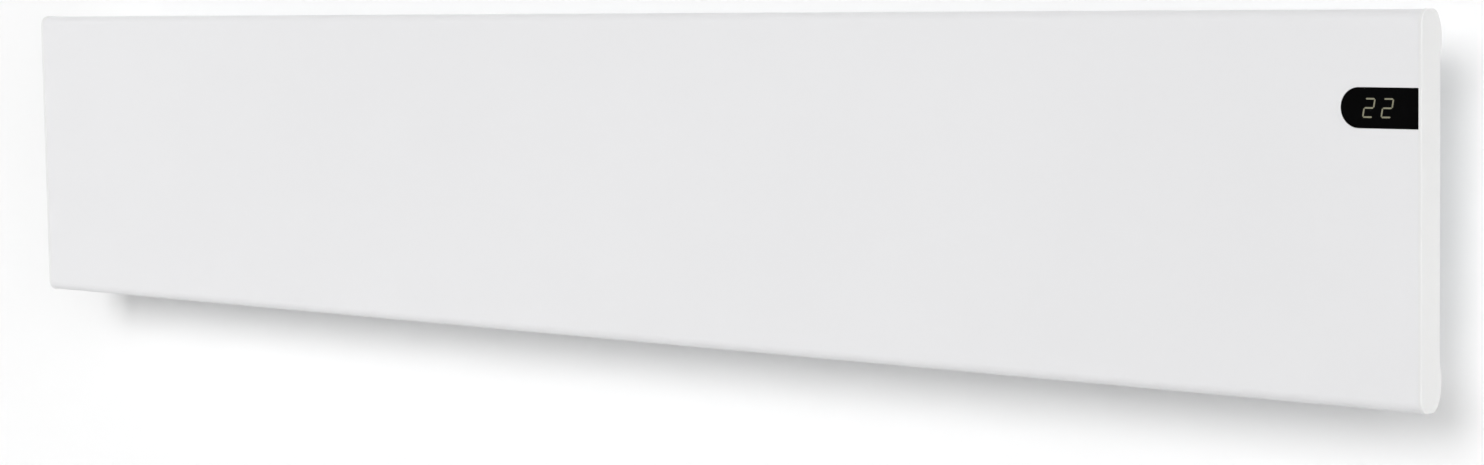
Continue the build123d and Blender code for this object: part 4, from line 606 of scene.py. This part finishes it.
def stage_plane(name, corners, material):
    """Plane of the stage, which is no piece of the object."""
    mesh = bpy.data.meshes.new(name)
    mesh.from_pydata(corners, [], [(0, 1, 2, 3)])
    mesh.materials.append(material)
    plane = into_scene(name, mesh)


def build_stage():
    """Wall behind the heater, and a floor well below it."""
    white = one_sided("backdrop white", WALL_COLOUR, WALL_LIFT)
    pale = one_sided("pale floor", FLOOR_COLOUR, FLOOR_LIFT)
    h, y, z = STAGE_HALF, WALL_Y, FLOOR_Z
    stage_plane("wall", [(-h, y, z), (h, y, z), (h, y, h), (-h, y, h)], white)
    stage_plane("floor", [(-h, -h, z), (h, -h, z), (h, y, z), (-h, y, z)], pale)


# ---------------------------------------------------------------- light
# name, azimuth from straight ahead towards the display end, elevation, spread, share of white
LAMPS = (
    ("softbox_left", 12, 21, 28, 0.475),
    ("softbox_middle", 36, 20, 34, 0.18),
    ("softbox_right", 62, 12, 32, 0.165),
    ("rear", 180, 0, 70, 0.50),
)
FILL_PLACE = Vector((-1.0, -1.9, 0.5))     # near lamp that lifts the far half of the front a little
FILL_AIM = Vector((-0.3, 0.0, 0.0))
FILL_SIZE = 1.2
FILL_POWER = 3.1
AMBIENT = 0.03                 # share of white that comes evenly from all sides
SEEN_WORLD = 1.0               # share of white that the camera, metal and glass see


def distant_lamp(name, azimuth, elevation, spread, share):
    """A soft lamp far away that lights a white face turned to it to a share of white."""
    lamp = bpy.data.lights.new(name, "SUN")
    lamp.angle = radians(spread)
    lamp.energy = pi * share
    turn = Matrix.Rotation(radians(azimuth), 4, "Z") @ Matrix.Rotation(radians(90 - elevation), 4, "X")
    into_scene(name, lamp).matrix_world = turn


def fill_lamp():
    """A square lamp near the far end of the heater."""
    lamp = bpy.data.lights.new("fill", "AREA")
    lamp.size = FILL_SIZE
    lamp.energy = FILL_POWER
    holder = into_scene("fill", lamp)
    holder.location = FILL_PLACE
    holder.rotation_mode = "QUATERNION"
    holder.rotation_quaternion = (FILL_AIM - FILL_PLACE).to_track_quat("-Z", "Y")


def white_background(tree, strength):
    """Even white light from the world."""
    background = tree.nodes.new("ShaderNodeBackground")
    background.inputs["Color"].default_value = (1, 1, 1, 1)
    background.inputs["Strength"].default_value = strength
    return background.outputs["Background"]


def build_light():
    """Lamps, and a world that is white where it is seen and dim where it lights."""
    world = bpy.data.worlds.new("studio")
    bpy.context.scene.world = world
    world.use_nodes = True
    tree = world.node_tree
    tree.nodes.clear()
    ambient = white_background(tree, AMBIENT)
    seen = white_background(tree, SEEN_WORLD)
    out = tree.nodes.new("ShaderNodeOutputWorld")
    tree.links.new(mixed(tree, seen_rays(tree), ambient, seen), out.inputs["Surface"])
    for settings in LAMPS:
        distant_lamp(*settings)
    fill_lamp()


# ---------------------------------------------------------------- camera
CAMERA_PLACE = Vector((1.729, -1.804, 0.151))
CAMERA_YAW = radians(42.63)
CAMERA_PITCH = radians(4.58)       # below the level
CAMERA_ROLL = radians(-0.91)
CAMERA_LENS = 77.5                 # in mm, like the sensor
CAMERA_SENSOR = 36.0
CAMERA_CLIP = (0.05, 50.0)


def build_camera():
    """The photographer's place, fitted to the heater's edges."""
    data = bpy.data.cameras.new("camera")
    data.sensor_width = CAMERA_SENSOR
    data.lens = CAMERA_LENS
    data.clip_start, data.clip_end = CAMERA_CLIP
    camera = into_scene("camera", data)
    turn = Matrix.Rotation(CAMERA_YAW, 4, "Z") @ Matrix.Rotation(pi / 2 - CAMERA_PITCH, 4, "X")
    camera.matrix_world = Matrix.Translation(CAMERA_PLACE) @ turn @ Matrix.Rotation(CAMERA_ROLL, 4, "Z")
    bpy.context.scene.camera = camera


dress_nodes()
build_shell()
rocker_marks()
build_stage()
build_light()
build_camera()
bpy.context.scene.view_settings.view_transform = "Standard"
